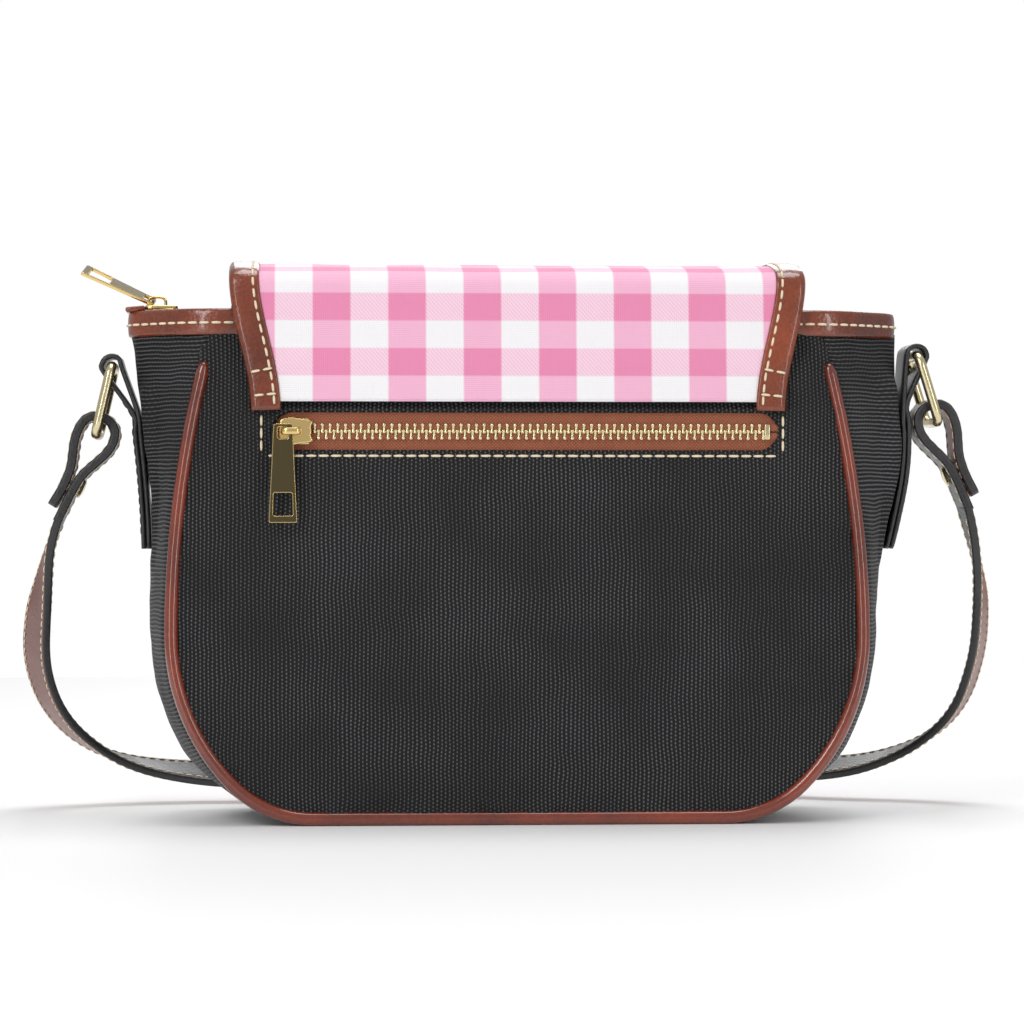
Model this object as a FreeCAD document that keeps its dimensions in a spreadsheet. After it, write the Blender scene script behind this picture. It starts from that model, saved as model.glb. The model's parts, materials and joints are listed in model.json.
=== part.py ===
"""Crossbody purse: a soft saddle bag with a folding flap, two zips, side rings and a buckled strap.

Frame: +X to the right along the bag, -Y out of the back panel, +Y out of the front, +Z up.
The origin is the middle of the flat bottom. Lengths are millimetres.
"""
import FreeCAD
import Part
import Sketcher
import math
import os
from FreeCAD import Placement, Rotation, Vector

DIMENSIONS = [
    ("bottom_half", 66.0), ("lower_radius", 38.0), ("upper_radius", 70.5), ("side_radius", 366.0),
    ("rim_bottom", 157.0), ("rim_top", 165.5), ("rim_thick", 3.6), ("rim_half_length", 126.0),
    ("rim_half_depth", 23.2), ("rim_corner", 25.0), ("rim_apex", 9.0),
    ("base_depth", 70.0), ("rim_depth", 44.0), ("dome", 7.0), ("fabric", 1.6), ("piping_tube", 4.4),
    ("lining_inset", 5.0), ("lining_wall", 0.8), ("board_length", 122.0), ("board_depth", 44.0),
    ("board_thick", 1.5), ("flap_thick", 1.6), ("binding_width", 9.6), ("binding_thick", 2.8),
    ("anchor_bottom", 132.0), ("anchor_top", 174.0), ("crest", 181.0), ("fold_back_y", -25.0),
    ("fold_front_y", 25.0), ("fold_front_z", 174.0), ("flap_half_top", 93.0), ("flap_half_low", 112.0),
    ("flap_bottom", 34.0), ("tape_thick", 0.6), ("tape_height", 5.4), ("tooth_pitch", 2.47),
    ("tooth_wide", 1.1), ("tooth_long", 2.0), ("tooth_deep", 2.4), ("pocket_z", 125.8), ("pocket_y", -29.0),
    ("pocket_teeth", 58), ("mouth_z", 164.8), ("mouth_half", 92.0), ("mouth_teeth", 74), ("end_teeth", 5),
    ("slider_long", 10.0), ("slider_wide", 9.0), ("slider_high", 5.2), ("puller_thick", 1.2),
    ("puller_long", 31.3), ("pull_tab_long", 25.0), ("tab_width", 18.0), ("tab_thick", 3.0),
    ("tab_bottom", 88.0), ("loop_outer", 4.3), ("ring_tube", 3.2), ("ring_high", 26.0), ("ring_wide", 23.0),
    ("ring_corner", 4.0), ("strap_width", 15.0), ("strap_thick", 3.0), ("end_loop", 7.6),
    ("strap_tail", 26.0), ("rivet_width", 7.0), ("buckle_high", 21.0), ("buckle_long", 18.0),
    ("buckle_bar", 2.4), ("snap_width", 17.0), ("side_bulge", 7.0), ("flap_gap", 5.6),
    ("puller_lift", 25.0), ("tab_gap", 0.4), ("ring_play", 0.5), ("eye_bar", 0.5), ("puller_hang", 5.5),
]

doc = FreeCAD.newDocument("crossbody_purse")
sheet = doc.addObject("Spreadsheet::Sheet", "dims")
for row, (alias, amount) in enumerate(DIMENSIONS, 1):
    sheet.set(f"A{row}", alias)
    sheet.set(f"B{row}", str(amount))
    sheet.setAlias(f"B{row}", alias)
doc.recompute()
D = {alias: float(sheet.get(alias)) for alias, _ in DIMENSIONS}
parts = []
X = Vector(1, 0, 0)
Y = Vector(0, 1, 0)
Z = Vector(0, 0, 1)


def keep(item, name, place=None):
    """Name a finished sub-part and put it where it belongs."""
    item.Label = name
    if place is not None:
        item.Placement = place
    parts.append(item)
    return item


def at(x, y, z, axis=X, turn=0.0):
    return Placement(Vector(x, y, z), Rotation(axis, turn))


def box(name, sizes, centre, axis=X, turn=0.0, done=True):
    """A plate whose three sizes are sheet expressions, centred on a point and turned about it."""
    item = doc.addObject("Part::Box", name)
    for prop, text in zip(("Length", "Width", "Height"), sizes):
        item.setExpression(prop, text)
    doc.recompute()
    half = Vector(item.Length.Value / 2, item.Width.Value / 2, item.Height.Value / 2)
    rotation = Rotation(axis, turn)
    item.Placement = Placement(Vector(*centre) - rotation.multVec(half), rotation)
    return keep_if(item, name, done)


def cylinder(name, radius, height, base, direction, done=True):
    """A disc or pin: its radius and height are sheet expressions."""
    item = doc.addObject("Part::Cylinder", name)
    item.setExpression("Radius", radius)
    item.setExpression("Height", height)
    item.Placement = Placement(Vector(*base), Rotation(Z, Vector(*direction)))
    return keep_if(item, name, done)


def keep_if(item, name, done):
    if done:
        parts.append(item)
    item.Label = name
    return item


def cut(name, base, tool):
    item = doc.addObject("Part::Cut", name)
    item.Base = base
    item.Tool = tool
    return keep(item, name)


def fuse(name, items, done=True):
    item = doc.addObject("Part::MultiFuse", name)
    item.Shapes = items
    return keep_if(item, name, done)


def solid(name, shape):
    """A cut-and-sewn piece whose surface no primitive fits."""
    item = doc.addObject("Part::Feature", name)
    item.Shape = shape
    return keep(item, name)


def new_body(name):
    body = doc.addObject("PartDesign::Body", name)
    return body, {item.Role: item for item in body.Origin.OriginFeatures}


def new_sketch(body, planes, name, plane):
    sketch = body.newObject("Sketcher::SketchObject", name)
    sketch.AttachmentSupport = [(planes[plane], "")]
    sketch.MapMode = "FlatFace"
    return sketch


def limit(sketch, name, constraint, text):
    """Add one dimension to a sketch and bind it to the sheet."""
    number = sketch.addConstraint(constraint)
    sketch.renameConstraint(number, name)
    sketch.setExpression("Constraints." + name, text)


def rectangle(sketch, across, along):
    """A rectangle centred on the sketch's origin."""
    corners = [Vector(-1, -1, 0), Vector(1, -1, 0), Vector(1, 1, 0), Vector(-1, 1, 0)]
    first = sketch.GeometryCount
    sides = [Part.LineSegment(corners[i], corners[(i + 1) % 4]) for i in range(4)]
    sketch.addGeometry(sides, False)
    make = Sketcher.Constraint
    for i in range(4):
        sketch.addConstraint(make("Coincident", first + i, 2, first + (i + 1) % 4, 1))
        sketch.addConstraint(make("Horizontal" if i % 2 == 0 else "Vertical", first + i))
    sketch.addConstraint(make("Symmetric", first, 1, first + 2, 1, -1, 1))
    limit(sketch, f"across{first}", make("DistanceX", first, 1, first, 2, 2), across)
    limit(sketch, f"along{first}", make("DistanceY", first + 1, 1, first + 1, 2, 2), along)


def rounded(width, height, corner):
    """The eight edges of a rounded rectangle about the origin."""
    edges = []
    places = [(1, -1, -90), (1, 1, 0), (-1, 1, 90), (-1, -1, 180)]
    middle = [Vector(sx * (width / 2 - corner), sz * (height / 2 - corner), 0) for sx, sz, _ in places]
    for i, (_, _, start) in enumerate(places):
        first = math.radians(start)
        circle = Part.Circle(middle[i], Z, corner)
        edges.append(Part.ArcOfCircle(circle, first, first + math.pi / 2))
        out = Vector(math.cos(first + math.pi / 2), math.sin(first + math.pi / 2), 0) * corner
        edges.append(Part.LineSegment(middle[i] + out, middle[(i + 1) % 4] + out))
    return edges


def pad(body, sketch, length, midplane=True):
    feature = body.newObject("PartDesign::Pad", sketch.Name + "_pad")
    feature.Profile = sketch
    feature.setExpression("Length", length)
    feature.Midplane = midplane
    doc.recompute()
    return feature


def plate(name, plane, edges, thick, place=None, done=True):
    """A flat piece: a closed outline padded evenly to both sides of its plane."""
    body, planes = new_body(name)
    sketch = new_sketch(body, planes, name + "_outline", plane)
    sketch.addGeometry(edges, False)
    pad(body, sketch, thick)
    if place is not None:
        body.Placement = place
    return keep_if(body, name, done)


def frame_plate(name, plane, outer, inner, thick, place):
    """A rectangular frame such as a keeper or a buckle: outer and inner sizes are sheet expressions."""
    body, planes = new_body(name)
    sketch = new_sketch(body, planes, name + "_outline", plane)
    rectangle(sketch, *outer)
    rectangle(sketch, *inner)
    pad(body, sketch, thick)
    return keep(body, name, place)


# ---- the bag's shell ---------------------------------------------------------------------------

def half_depth(z):
    """Half the distance between the two panel seams at one height."""
    lean = (D["base_depth"] - D["rim_depth"]) / 2
    return D["base_depth"] / 2 - lean * z / D["rim_top"]


def outline_points(inset, top):
    """Corners and arc middles of the right half of the panel outline, from the bottom up."""
    flat = D["bottom_half"]
    low = D["lower_radius"]
    high = D["upper_radius"]
    side = D["side_radius"]
    c_low = Vector(flat, 0, low)
    turn = math.radians(45)
    knee = c_low + Vector(math.sin(turn), 0, -math.cos(turn)) * low
    c_high = knee - Vector(math.sin(turn), 0, -math.cos(turn)) * high
    c_side = Vector(c_high.x + high - side, 0, c_high.z)

    def on(centre, radius, degrees):
        angle = math.radians(degrees)
        return centre + Vector(math.cos(angle), 0, math.sin(angle)) * (radius - inset)

    rise = math.degrees(math.asin((top - c_side.z) / (side - inset)))
    return [Vector(flat, 0, inset), on(c_low, low, -67.5), on(c_low, low, -45), on(c_high, high, -22.5),
            on(c_high, high, 0), on(c_side, side, rise / 2), on(c_side, side, rise)]


def mirrored(point):
    return Vector(-point.x, point.y, point.z)


def outline_edges(inset, top):
    """The open outline from the left end over the bottom to the right end."""
    p = outline_points(inset, top)
    q = [mirrored(point) for point in p]
    left = [Part.Arc(q[6], q[5], q[4]), Part.Arc(q[4], q[3], q[2]), Part.Arc(q[2], q[1], q[0])]
    right = [Part.Arc(p[0], p[1], p[2]), Part.Arc(p[2], p[3], p[4]), Part.Arc(p[4], p[5], p[6])]
    return [arc.toShape() for arc in left + [Part.LineSegment(q[0], p[0])] + right]


def outline_face(inset, top):
    edges = outline_edges(inset, top)
    p = outline_points(inset, top)
    edges.append(Part.LineSegment(p[6], mirrored(p[6])).toShape())
    return Part.Face(Part.Wire(edges))


def prism(face, reach=200.0):
    """An upright cutter along Y from an outline in the XZ plane."""
    shape = face.copy()
    shape.translate(Vector(0, -reach / 2, 0))
    return shape.extrude(Vector(0, reach, 0))


def swell(x, z):
    """How full the stuffed panel is at one place, from 0 at its seams to 1."""
    across = max(0.0, 1 - (x / 112.0) ** 2)
    up = max(0.0, math.sin(math.pi * min(1.0, max(0.0, (z + 6) / 172.0))))
    return across * up


def curved_sheet(depth, thick, face, sense):
    """A sheet that follows depth(x, z) along Y, cut to an outline; thick grows along sense."""
    xs = [-125 + 250 * i / 16 for i in range(17)]
    zs = [-8 + 200 * k / 14 for k in range(15)]
    surface = Part.BSplineSurface()
    surface.interpolate([[Vector(x, depth(x, z), z) for z in zs] for x in xs])
    block = surface.toShape().extrude(Vector(0, thick * sense, 0))
    return block.common(prism(face))


def panel(name, sense):
    """A domed fabric panel; sense is -1 for the back and 1 for the front."""
    inset = D["piping_tube"] + 0.1

    def depth(x, z):
        return sense * (half_depth(z) + D["dome"] * swell(x, z))

    return curved_sheet(depth, D["fabric"], outline_face(inset, D["rim_bottom"] - 0.1), -sense)


def seam_lean():
    """The angle that a panel's seam plane leans in from upright, in degrees."""
    return math.degrees(math.atan((D["base_depth"] - D["rim_depth"]) / 2 / D["rim_top"]))


def piping(name, sense):
    """A round cord sewn round a panel, from under one end of the rim to the other."""
    body, planes = new_body(name)
    path = new_sketch(body, planes, name + "_path", "XZ_Plane")
    inset = D["piping_tube"] / 2
    p = [Vector(q.x, q.z, 0) for q in outline_points(inset, D["rim_bottom"] - 9.0)]
    arcs = [Part.Arc(p[0], p[1], p[2]), Part.Arc(p[2], p[3], p[4]), Part.Arc(p[4], p[5], p[6])]
    path.addGeometry([Part.LineSegment(Vector(0, inset, 0), p[0])] + arcs, False)
    section = new_sketch(body, planes, name + "_section", "YZ_Plane")
    section.addGeometry(Part.Circle(Vector(0, inset, 0), Z, inset), False)
    limit(section, "tube", Sketcher.Constraint("Diameter", 0, 2 * inset), "dims.piping_tube")
    pipe = body.newObject("PartDesign::AdditivePipe", name + "_cord")
    pipe.Profile = section
    pipe.Spine = (path, [])
    doc.recompute()
    mirror = body.newObject("PartDesign::Mirrored", name + "_mirror")
    mirror.Originals = [pipe]
    mirror.MirrorPlane = (planes["YZ_Plane"], [""])
    body.Tip = mirror
    keep(body, name, at(0, sense * D["base_depth"] / 2, 0.02, X, sense * seam_lean()))


def fullness(side, z):
    """How far the gusset's ridge stands out past the panel seam at one height."""
    share = min(1.0, max(0.0, z / 26.0))
    low = 5.5 * share * share * (3 - 2 * share)
    high = 19.0 * max(0.0, (z - 84.0) / (D["rim_bottom"] - 84.0)) ** 1.6
    extra = D["side_bulge"] * math.exp(-((z - 115.0) / 32.0) ** 2) if side > 0 else 0.0
    return low + high + extra


def ridge_x(side, z):
    """The gusset's outermost X at one height."""
    return side * (seam_x(z) + fullness(side, z))


def seam_x(z):
    p = outline_points(0.0, z) if z > D["upper_radius"] else outline_points(0.0, D["upper_radius"])
    return p[6].x


def gusset_station(side, share, offset):
    """One rib of the gusset: points across its depth at one share of its length."""
    p = outline_points(0.0, D["rim_bottom"] - 0.1)
    arcs = [Part.Arc(p[0], p[1], p[2]), Part.Arc(p[2], p[3], p[4]), Part.Arc(p[4], p[5], p[6])]
    lengths = [arc.length() for arc in arcs]
    run = share * sum(lengths)
    number = 0
    while number < 2 and run > lengths[number]:
        run -= lengths[number]
        number += 1
    arc = arcs[number]
    along = arc.parameterAtDistance(min(run, lengths[number]), arc.FirstParameter)
    point = arc.value(along)
    tangent = arc.tangent(along)[0]
    out = Vector(tangent.z, 0, -tangent.x) if number < 2 else X
    deep = half_depth(point.z) - D["piping_tube"] / 2 - 0.2
    bulge = fullness(side, point.z)
    blunt = 0.3
    power = 2.0 - 0.8 * share
    top = (1 + blunt ** 2) ** (power / 2) - blunt ** power
    rib = []
    for i in range(9):
        u = -1 + i / 4
        rise = 1 - ((u * u + blunt ** 2) ** (power / 2) - blunt ** power) / top
        place = point + out * (bulge * rise - offset)
        rib.append(Vector(side * place.x, u * deep, place.z))
    return rib


def lofted(grid):
    surface = Part.BSplineSurface()
    surface.interpolate(grid)
    return surface


def thick_sheet(outer, inner):
    """A closed solid between two point grids of the same shape."""
    top = lofted(outer)
    base = lofted(inner)
    rims = []
    for pick in (lambda f: f.uIso(0.0), lambda f: f.uIso(1.0), lambda f: f.vIso(0.0), lambda f: f.vIso(1.0)):
        rims.append(Part.makeRuledSurface(pick(unit(top)).toShape(), pick(unit(base)).toShape()))
    shell = Part.makeShell([top.toShape(), base.toShape()] + rims)
    shell.sewShape()
    body = Part.makeSolid(Part.Shell(shell.Faces))
    if body.Volume < 0:
        body.reverse()
    return body


def unit(surface):
    """The surface with both parameters running from 0 to 1."""
    bounds = surface.bounds()
    if bounds != (0.0, 1.0, 0.0, 1.0):
        surface.scaleKnotsToBounds(0.0, 1.0, 0.0, 1.0)
    return surface


def gusset(name, side):
    """One side wall, from the flat bottom round the corner and up to the rim."""
    shares = [i / 22 for i in range(23)]
    outer = [gusset_station(side, share, 0.0) for share in shares]
    inner = [gusset_station(side, share, D["fabric"]) for share in shares]
    solid(name, thick_sheet(outer, inner))


def rim_outline(inset):
    """The mouth's outline from above: two long sides that close to a blunt point at each end."""
    half = D["rim_half_depth"] - inset
    blunt = D["rim_apex"] - inset
    centre = D["rim_half_length"] - D["rim_apex"]
    lean = math.radians(42)
    corner_x = centre + (blunt - half * math.cos(lean)) / math.sin(lean)
    points = [Vector(corner_x, half, 0), Vector(centre + blunt / math.sin(lean), 0, 0), Vector(corner_x, -half, 0)]
    points += [Vector(-q.x, q.y, 0) for q in reversed(points)]
    radii = [D["rim_corner"], blunt, D["rim_corner"]] * 2
    return filleted(points, radii)


def filleted(points, radii):
    """A closed loop of straight edges whose corners are arcs of the given radii."""
    count = len(points)
    ends = []
    arcs = []
    for i, (point, radius) in enumerate(zip(points, radii)):
        back = (points[i - 1] - point).normalize()
        ahead = (points[(i + 1) % count] - point).normalize()
        half = back.getAngle(ahead) / 2
        reach = radius / math.tan(half)
        middle = (back + ahead).normalize()
        centre = point + middle * (radius / math.sin(half))
        ends.append((point + back * reach, point + ahead * reach))
        arcs.append(Part.Arc(ends[-1][0], centre - middle * radius, ends[-1][1]))
    edges = []
    for i in range(count):
        edges.append(arcs[i])
        start, stop = ends[i][1], ends[(i + 1) % count][0]
        if (stop - start).Length > 0.01:
            edges.append(Part.LineSegment(start, stop))
    return edges


def rim_binding():
    """The leather band round the mouth."""
    body, planes = new_body("rim_binding")
    sketch = new_sketch(body, planes, "rim_outline", "XY_Plane")
    sketch.addGeometry(rim_outline(0.0) + rim_outline(D["rim_thick"]), False)
    pad(body, sketch, "dims.rim_top - dims.rim_bottom", False)
    keep(body, "rim_binding", at(0, 0, D["rim_bottom"]))


def lining():
    """The sewn inner bag: an open tub inside the shell."""
    def tub(inset, shrink, floor):
        base = D["base_depth"] / 2 - 6.5 - shrink
        mouth = D["rim_half_depth"] - D["rim_thick"] - 0.4 - shrink
        top = D["rim_bottom"] - 0.2
        side = [Vector(0, -base, floor), Vector(0, base, floor), Vector(0, mouth, top), Vector(0, -mouth, top)]
        wedge = Part.Face(Part.makePolygon(side + side[:1]))
        wedge.translate(Vector(-130, 0, 0))
        return wedge.extrude(Vector(260, 0, 0)).common(prism(outline_face(inset, D["rim_bottom"] + 20)))

    wall = D["lining_wall"]
    outer = tub(D["lining_inset"], 0.0, 0.0)
    inner = tub(D["lining_inset"] + wall, wall, 0.0)
    inner.translate(Vector(0, 0, 0.4))
    solid("lining", outer.cut(inner))


def shell():
    """The outer bag: two domed panels, two side walls, the bottom, pipings, rim and stiffener."""
    slot = Part.makeBox(pocket_length() + 0.4, 40, D["tape_height"] + 7.0)
    slot.translate(Vector(pocket_left() - 0.2, -60, D["pocket_z"] - D["tape_height"] / 2 - 3.5))
    solid("back_panel", panel("back_panel", -1).cut(slot))
    solid("front_panel", panel("front_panel", 1))
    gusset("gusset_left", -1)
    gusset("gusset_right", 1)
    box("bottom_panel", ("2 * dims.bottom_half - 0.2", "dims.base_depth - dims.piping_tube - 0.4", "dims.fabric"),
        (0, 0, D["fabric"] / 2))
    box("base_board", ("dims.board_length", "dims.board_depth", "dims.board_thick"),
        (0, 0, D["fabric"] + 0.2 + D["board_thick"] / 2))
    piping("piping_back", -1)
    piping("piping_front", 1)
    rim_binding()
    lining()


# ---- the pocket on the back --------------------------------------------------------------------

def pocket_left():
    return -79.0


def pocket_length():
    return 163.0


def tooth_row(name, count, start, centre_y, centre_z, plane, wide, tall, deep):
    """A row of separate zip teeth along X: one tooth, patterned by the pitch."""
    body, planes = new_body(name)
    sketch = new_sketch(body, planes, name + "_tooth", plane)
    rectangle(sketch, wide, tall)
    feature = pad(body, sketch, deep)
    row = body.newObject("PartDesign::LinearPattern", name + "_row")
    row.Originals = [feature]
    row.Direction = (planes["X_Axis"], [""])
    row.setExpression("Length", f"dims.tooth_pitch * ({count} - 1)")
    row.setExpression("Occurrences", count)
    body.Tip = row
    return keep(body, name, at(start, centre_y, centre_z))


def slider(name, plane_up, centre):
    """A zip slider: two plates joined by a wedge, with a bridge for its puller on top.

    plane_up is the rotation that takes the slider's own up, +Z, to the side the puller is on.
    """
    length, width, high = D["slider_long"], D["slider_wide"], D["slider_high"]
    thick = 1.0
    outline = filleted([Vector(length / 2, -width / 2 + 1.4, 0), Vector(length / 2, width / 2 - 1.4, 0),
                        Vector(-length / 2, width / 2, 0), Vector(-length / 2, -width / 2, 0)], [1.6, 1.6, 2.2, 2.2])
    low = plate(name + "_low", "XY_Plane", outline, f"{thick}", at(0, 0, -high / 2 + thick / 2), False)
    top = plate(name + "_top", "XY_Plane", outline, f"{thick}", at(0, 0, high / 2 - thick / 2), False)
    post = box(name + "_post", ("1.6", "0.8", "dims.slider_high - 0.4"), (length / 2 - 1.2, 0, 0), done=False)
    near, far, rise = 0.3 - length / 2, length / 2 - 3.2, high / 2
    arch = [Vector(near, rise - 0.3, 0), Vector(far, rise - 0.3, 0), Vector(far, rise + 3.4, 0),
            Vector(near, rise + 3.4, 0)]
    hole = filleted([Vector(near + 1.0, rise, 0), Vector(far - 1.0, rise, 0), Vector(far - 1.0, rise + 2.5, 0),
                     Vector(near + 1.0, rise + 2.5, 0)], [0.3, 0.3, 0.3, 0.3])
    bridge = plate(name + "_bridge", "XZ_Plane", filleted(arch, [0.2, 0.2, 0.9, 0.9]) + hole, "2.2",
                   None, False)
    joined = fuse(name, [low, top, post, bridge])
    joined.Placement = Placement(Vector(*centre), plane_up)


def pocket():
    """A long zip in the back panel with a flat pouch behind it."""
    left, length = pocket_left(), pocket_length()
    y, z = D["pocket_y"], D["pocket_z"]
    reach = D["tape_height"] / 2
    box("pocket_tape_upper", (f"{length}", "dims.tape_thick", "3.2"), (left + length / 2, y, z + reach + 1.7))
    box("pocket_tape_lower", (f"{length}", "dims.tape_thick", "3.2"), (left + length / 2, y, z - reach - 1.7))
    first = left + 13.5
    pitch = D["tooth_pitch"]
    sizes = ("dims.tooth_wide", "dims.tooth_long", "dims.tooth_deep")
    tooth_row("pocket_teeth_upper", "dims.pocket_teeth", first, y, z + 1.6, "XZ_Plane", *sizes)
    tooth_row("pocket_teeth_lower", "dims.pocket_teeth", first + pitch / 2, y, z - 1.6, "XZ_Plane", *sizes)
    last = first + pitch * D["pocket_teeth"]
    stop = box("stop_right", ("2.2", "dims.tooth_deep", "dims.tape_height"), (last + 1.6, y, z), done=False)
    keep_if(stop, "pocket_stop", True)
    flat = Rotation(X, 90)
    slider("pocket_slider", flat, (left + 7.5, y, z))
    pocket_puller(left + 7.5 + bridge_leg(), y, z)
    pouch(z)


def bridge_leg():
    """Where a puller's eye sits round the slider's bridge, measured from the slider's middle."""
    return 0.8 - D["slider_long"] / 2


def pocket_puller(x, y, z):
    """A flat metal pull: an eye whose bar lies over the slider's bridge, a shank and a windowed end."""
    long, bar = D["puller_long"], D["eye_bar"]
    edges = filleted([Vector(-3.0, bar, 0), Vector(-4.5, -long, 0), Vector(4.5, -long, 0),
                      Vector(3.0, bar, 0)], [0.9, 2.2, 2.2, 0.9])
    eye = filleted([Vector(-1.7, -bar, 0), Vector(-1.7, -4.4, 0), Vector(1.7, -4.4, 0), Vector(1.7, -bar, 0)],
                   [0.6] * 4)
    window = filleted([Vector(-2.9, 9.4 - long, 0), Vector(-3.1, 1.9 - long, 0), Vector(3.1, 1.9 - long, 0),
                       Vector(2.9, 9.4 - long, 0)], [0.9] * 4)
    out = y - D["slider_high"] / 2 - 1.0
    hang = Rotation(X, -D["puller_hang"])
    plate("pocket_puller", "XZ_Plane", edges + eye + window, "dims.puller_thick",
          Placement(Vector(x, out, z + 1.35 + bar), hang))


def pouch(z):
    """The pocket's own thin bag, open at the top edge towards the zip."""
    body, planes = new_body("pocket_pouch")
    sketch = new_sketch(body, planes, "pouch_section", "YZ_Plane")
    points = [Vector(0, 0, 0), Vector(0, -90, 0), Vector(-5.2, -90, 0), Vector(-5.2, -4, 0),
              Vector(-4.8, -4, 0), Vector(-4.8, -89.6, 0), Vector(-0.4, -89.6, 0), Vector(-0.4, 0, 0)]
    lines = [Part.LineSegment(points[i], points[(i + 1) % 8]) for i in range(8)]
    sketch.addGeometry(lines, False)
    pad(body, sketch, "2 * dims.bottom_half")
    lean = math.degrees(math.atan((D["base_depth"] / 2 - 6.5 - 19.2) / D["rim_bottom"]))
    top = z - 6
    depth = -(D["base_depth"] / 2 - 6.5) + top * math.tan(math.radians(lean)) - 0.5
    keep(body, "pocket_pouch", at(0, depth, top, X, -lean))


# ---- the mouth and its zip ---------------------------------------------------------------------

def mouth():
    """Two zip halves hinged along the rim, fixed ends past them, and the slider with its pull."""
    z = D["mouth_z"]
    half = D["mouth_half"]
    inner = D["rim_half_depth"] - D["rim_thick"]
    row = D["tooth_pitch"]
    sizes = ("dims.tooth_wide", "dims.tooth_long", "dims.tooth_deep")
    for side, word in ((-1, "back"), (1, "front")):
        start, stop = inner - 0.6, 8.0
        box("mouth_facing_" + word, ("2 * dims.mouth_half", f"{start - stop}", "0.9"),
            (0, side * (start + stop) / 2, z))
        box("main_tape_" + word, ("2 * dims.mouth_half", "5.0", "dims.tape_thick"), (0, side * 5.4, z))
        shift = -half + 1.0 + (row / 2 if side > 0 else 0.0)
        tooth_row("main_teeth_" + word, "dims.mouth_teeth", shift, side * 1.6, z, "XY_Plane", *sizes)
    for side, word in ((-1, "left"), (1, "right")):
        end_facing(side, word, inner, z)
    edges = filleted([Vector(0, 0, 0), Vector(1.2, 2.3, 0), Vector(5.6, 2.4, 0), Vector(5.6, 1.6, 0),
                      Vector(2.0, 1.5, 0), Vector(1.0, 0, 0)], [0.2, 1.4, 0.2, 0.2, 0.7, 0.2])
    plate("zip_end_tab", "XZ_Plane", edges, "12.0", at(-D["rim_half_length"] - 1.4, 0, D["rim_top"] - 0.6))
    slider("main_slider", Rotation(), (-115.4, 0, z))
    long, bar = D["pull_tab_long"], D["eye_bar"]
    eye = filleted([Vector(-2.9, 1.6, 0), Vector(-2.9, -1.6, 0), Vector(-bar, -1.6, 0), Vector(-bar, 1.6, 0)],
                   [0.7] * 4)
    outer = filleted([Vector(bar, -2.6, 0), Vector(bar, 2.6, 0), Vector(-long, 3.3, 0), Vector(-long, -3.3, 0)],
                     [0.9, 0.9, 2.4, 2.4])
    plate("main_puller", "XY_Plane", outer + eye, "dims.puller_thick",
          Placement(Vector(-115.4 + bridge_leg() + 1.5, 0, z + D["slider_high"] / 2 + 1.25),
                    Rotation(Y, D["puller_lift"])))


def end_facing(side, word, inner, z):
    """The fixed cloth at one end of the mouth, with the zip's last teeth on it."""
    near = D["mouth_half"] + 0.5
    far = D["rim_half_length"] - D["rim_thick"] - 1.2
    knee = 96.0
    edges = []
    for flank in (-1, 1):
        points = [Vector(near, flank * (inner - 0.6), 0), Vector(knee, flank * (inner - 0.6), 0),
                  Vector(far - 2.0, flank * 3.4, 0), Vector(near, flank * 3.4, 0)]
        points = [Vector(side * q.x, q.y, 0) for q in points]
        edges.append([Part.LineSegment(points[i], points[(i + 1) % 4]) for i in range(4)])
    body, planes = new_body("mouth_end_" + word)
    sketch = new_sketch(body, planes, "mouth_end_outline_" + word, "XY_Plane")
    sketch.addGeometry(edges[0] + edges[1], False)
    pad(body, sketch, "dims.tape_thick")
    keep(body, "mouth_end_" + word, at(0, 0, z))
    start = near + 1.2 if side > 0 else -near - 1.2 - D["tooth_pitch"] * (D["end_teeth"] - 1)
    tooth_row("end_teeth_" + word, "dims.end_teeth", start, 0, z, "XY_Plane", "dims.tooth_wide",
              "dims.tape_height - 0.4", "dims.tooth_deep")


# ---- the flap ----------------------------------------------------------------------------------

def flap_depth(x, z):
    """The front flap's inner face: it hangs clear of the filled front panel."""
    return half_depth(z) + D["flap_gap"] + 5.4 * swell(x, z)


def flap_face(inset):
    """The front flap's outline, seen from the front: it flares, then rounds off at the bottom."""
    top = D["fold_front_z"] - 3.0
    high, low, floor = D["flap_half_top"] - inset, D["flap_half_low"] - inset, D["flap_bottom"] + inset
    flare = D["flap_half_top"] + 8.5 - inset
    turn = 46.0 - inset
    a, b, c = Vector(high, 0, top), Vector(flare, 0, top - 14), Vector(low, 0, floor + turn)
    d = Vector(low - turn, 0, floor)
    belly = Vector(low - turn * (1 - math.sqrt(0.5)), 0, floor + turn * (1 - math.sqrt(0.5)))
    edges = [Part.Arc(a, Vector((high + flare) / 2 + 0.8, 0, top - 6), b), Part.LineSegment(b, c),
             Part.Arc(c, belly, d), Part.LineSegment(d, mirrored(d)), Part.Arc(mirrored(d), mirrored(belly),
                                                                           mirrored(c)),
             Part.LineSegment(mirrored(c), mirrored(b)),
             Part.Arc(mirrored(b), Vector(-(high + flare) / 2 - 0.8, 0, top - 6), mirrored(a)),
             Part.LineSegment(mirrored(a), a)]
    return Part.Face(Part.Wire([edge.toShape() for edge in edges]))


def flap_front():
    """The hanging front of the flap: cloth, lining and a leather edge, with the snap's stud."""
    wide, thick, cloth = D["binding_width"], D["binding_thick"], D["flap_thick"]
    band = curved_sheet(flap_depth, thick, flap_face(0.0), 1)
    solid("flap_front_binding", band.cut(prism(flap_face(wide))).cut(
        Part.makeBox(2 * (D["flap_half_top"] - wide), 100, 30, Vector(-D["flap_half_top"] + wide, 0, 160))))

    def cloth_depth(x, z):
        return flap_depth(x, z) + thick - cloth

    solid("flap_front_cloth", curved_sheet(cloth_depth, cloth, flap_face(wide + 0.1), 1))
    solid("flap_front_lining", curved_sheet(flap_depth, thick - cloth - 0.2, flap_face(wide + 0.1), 1))


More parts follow.
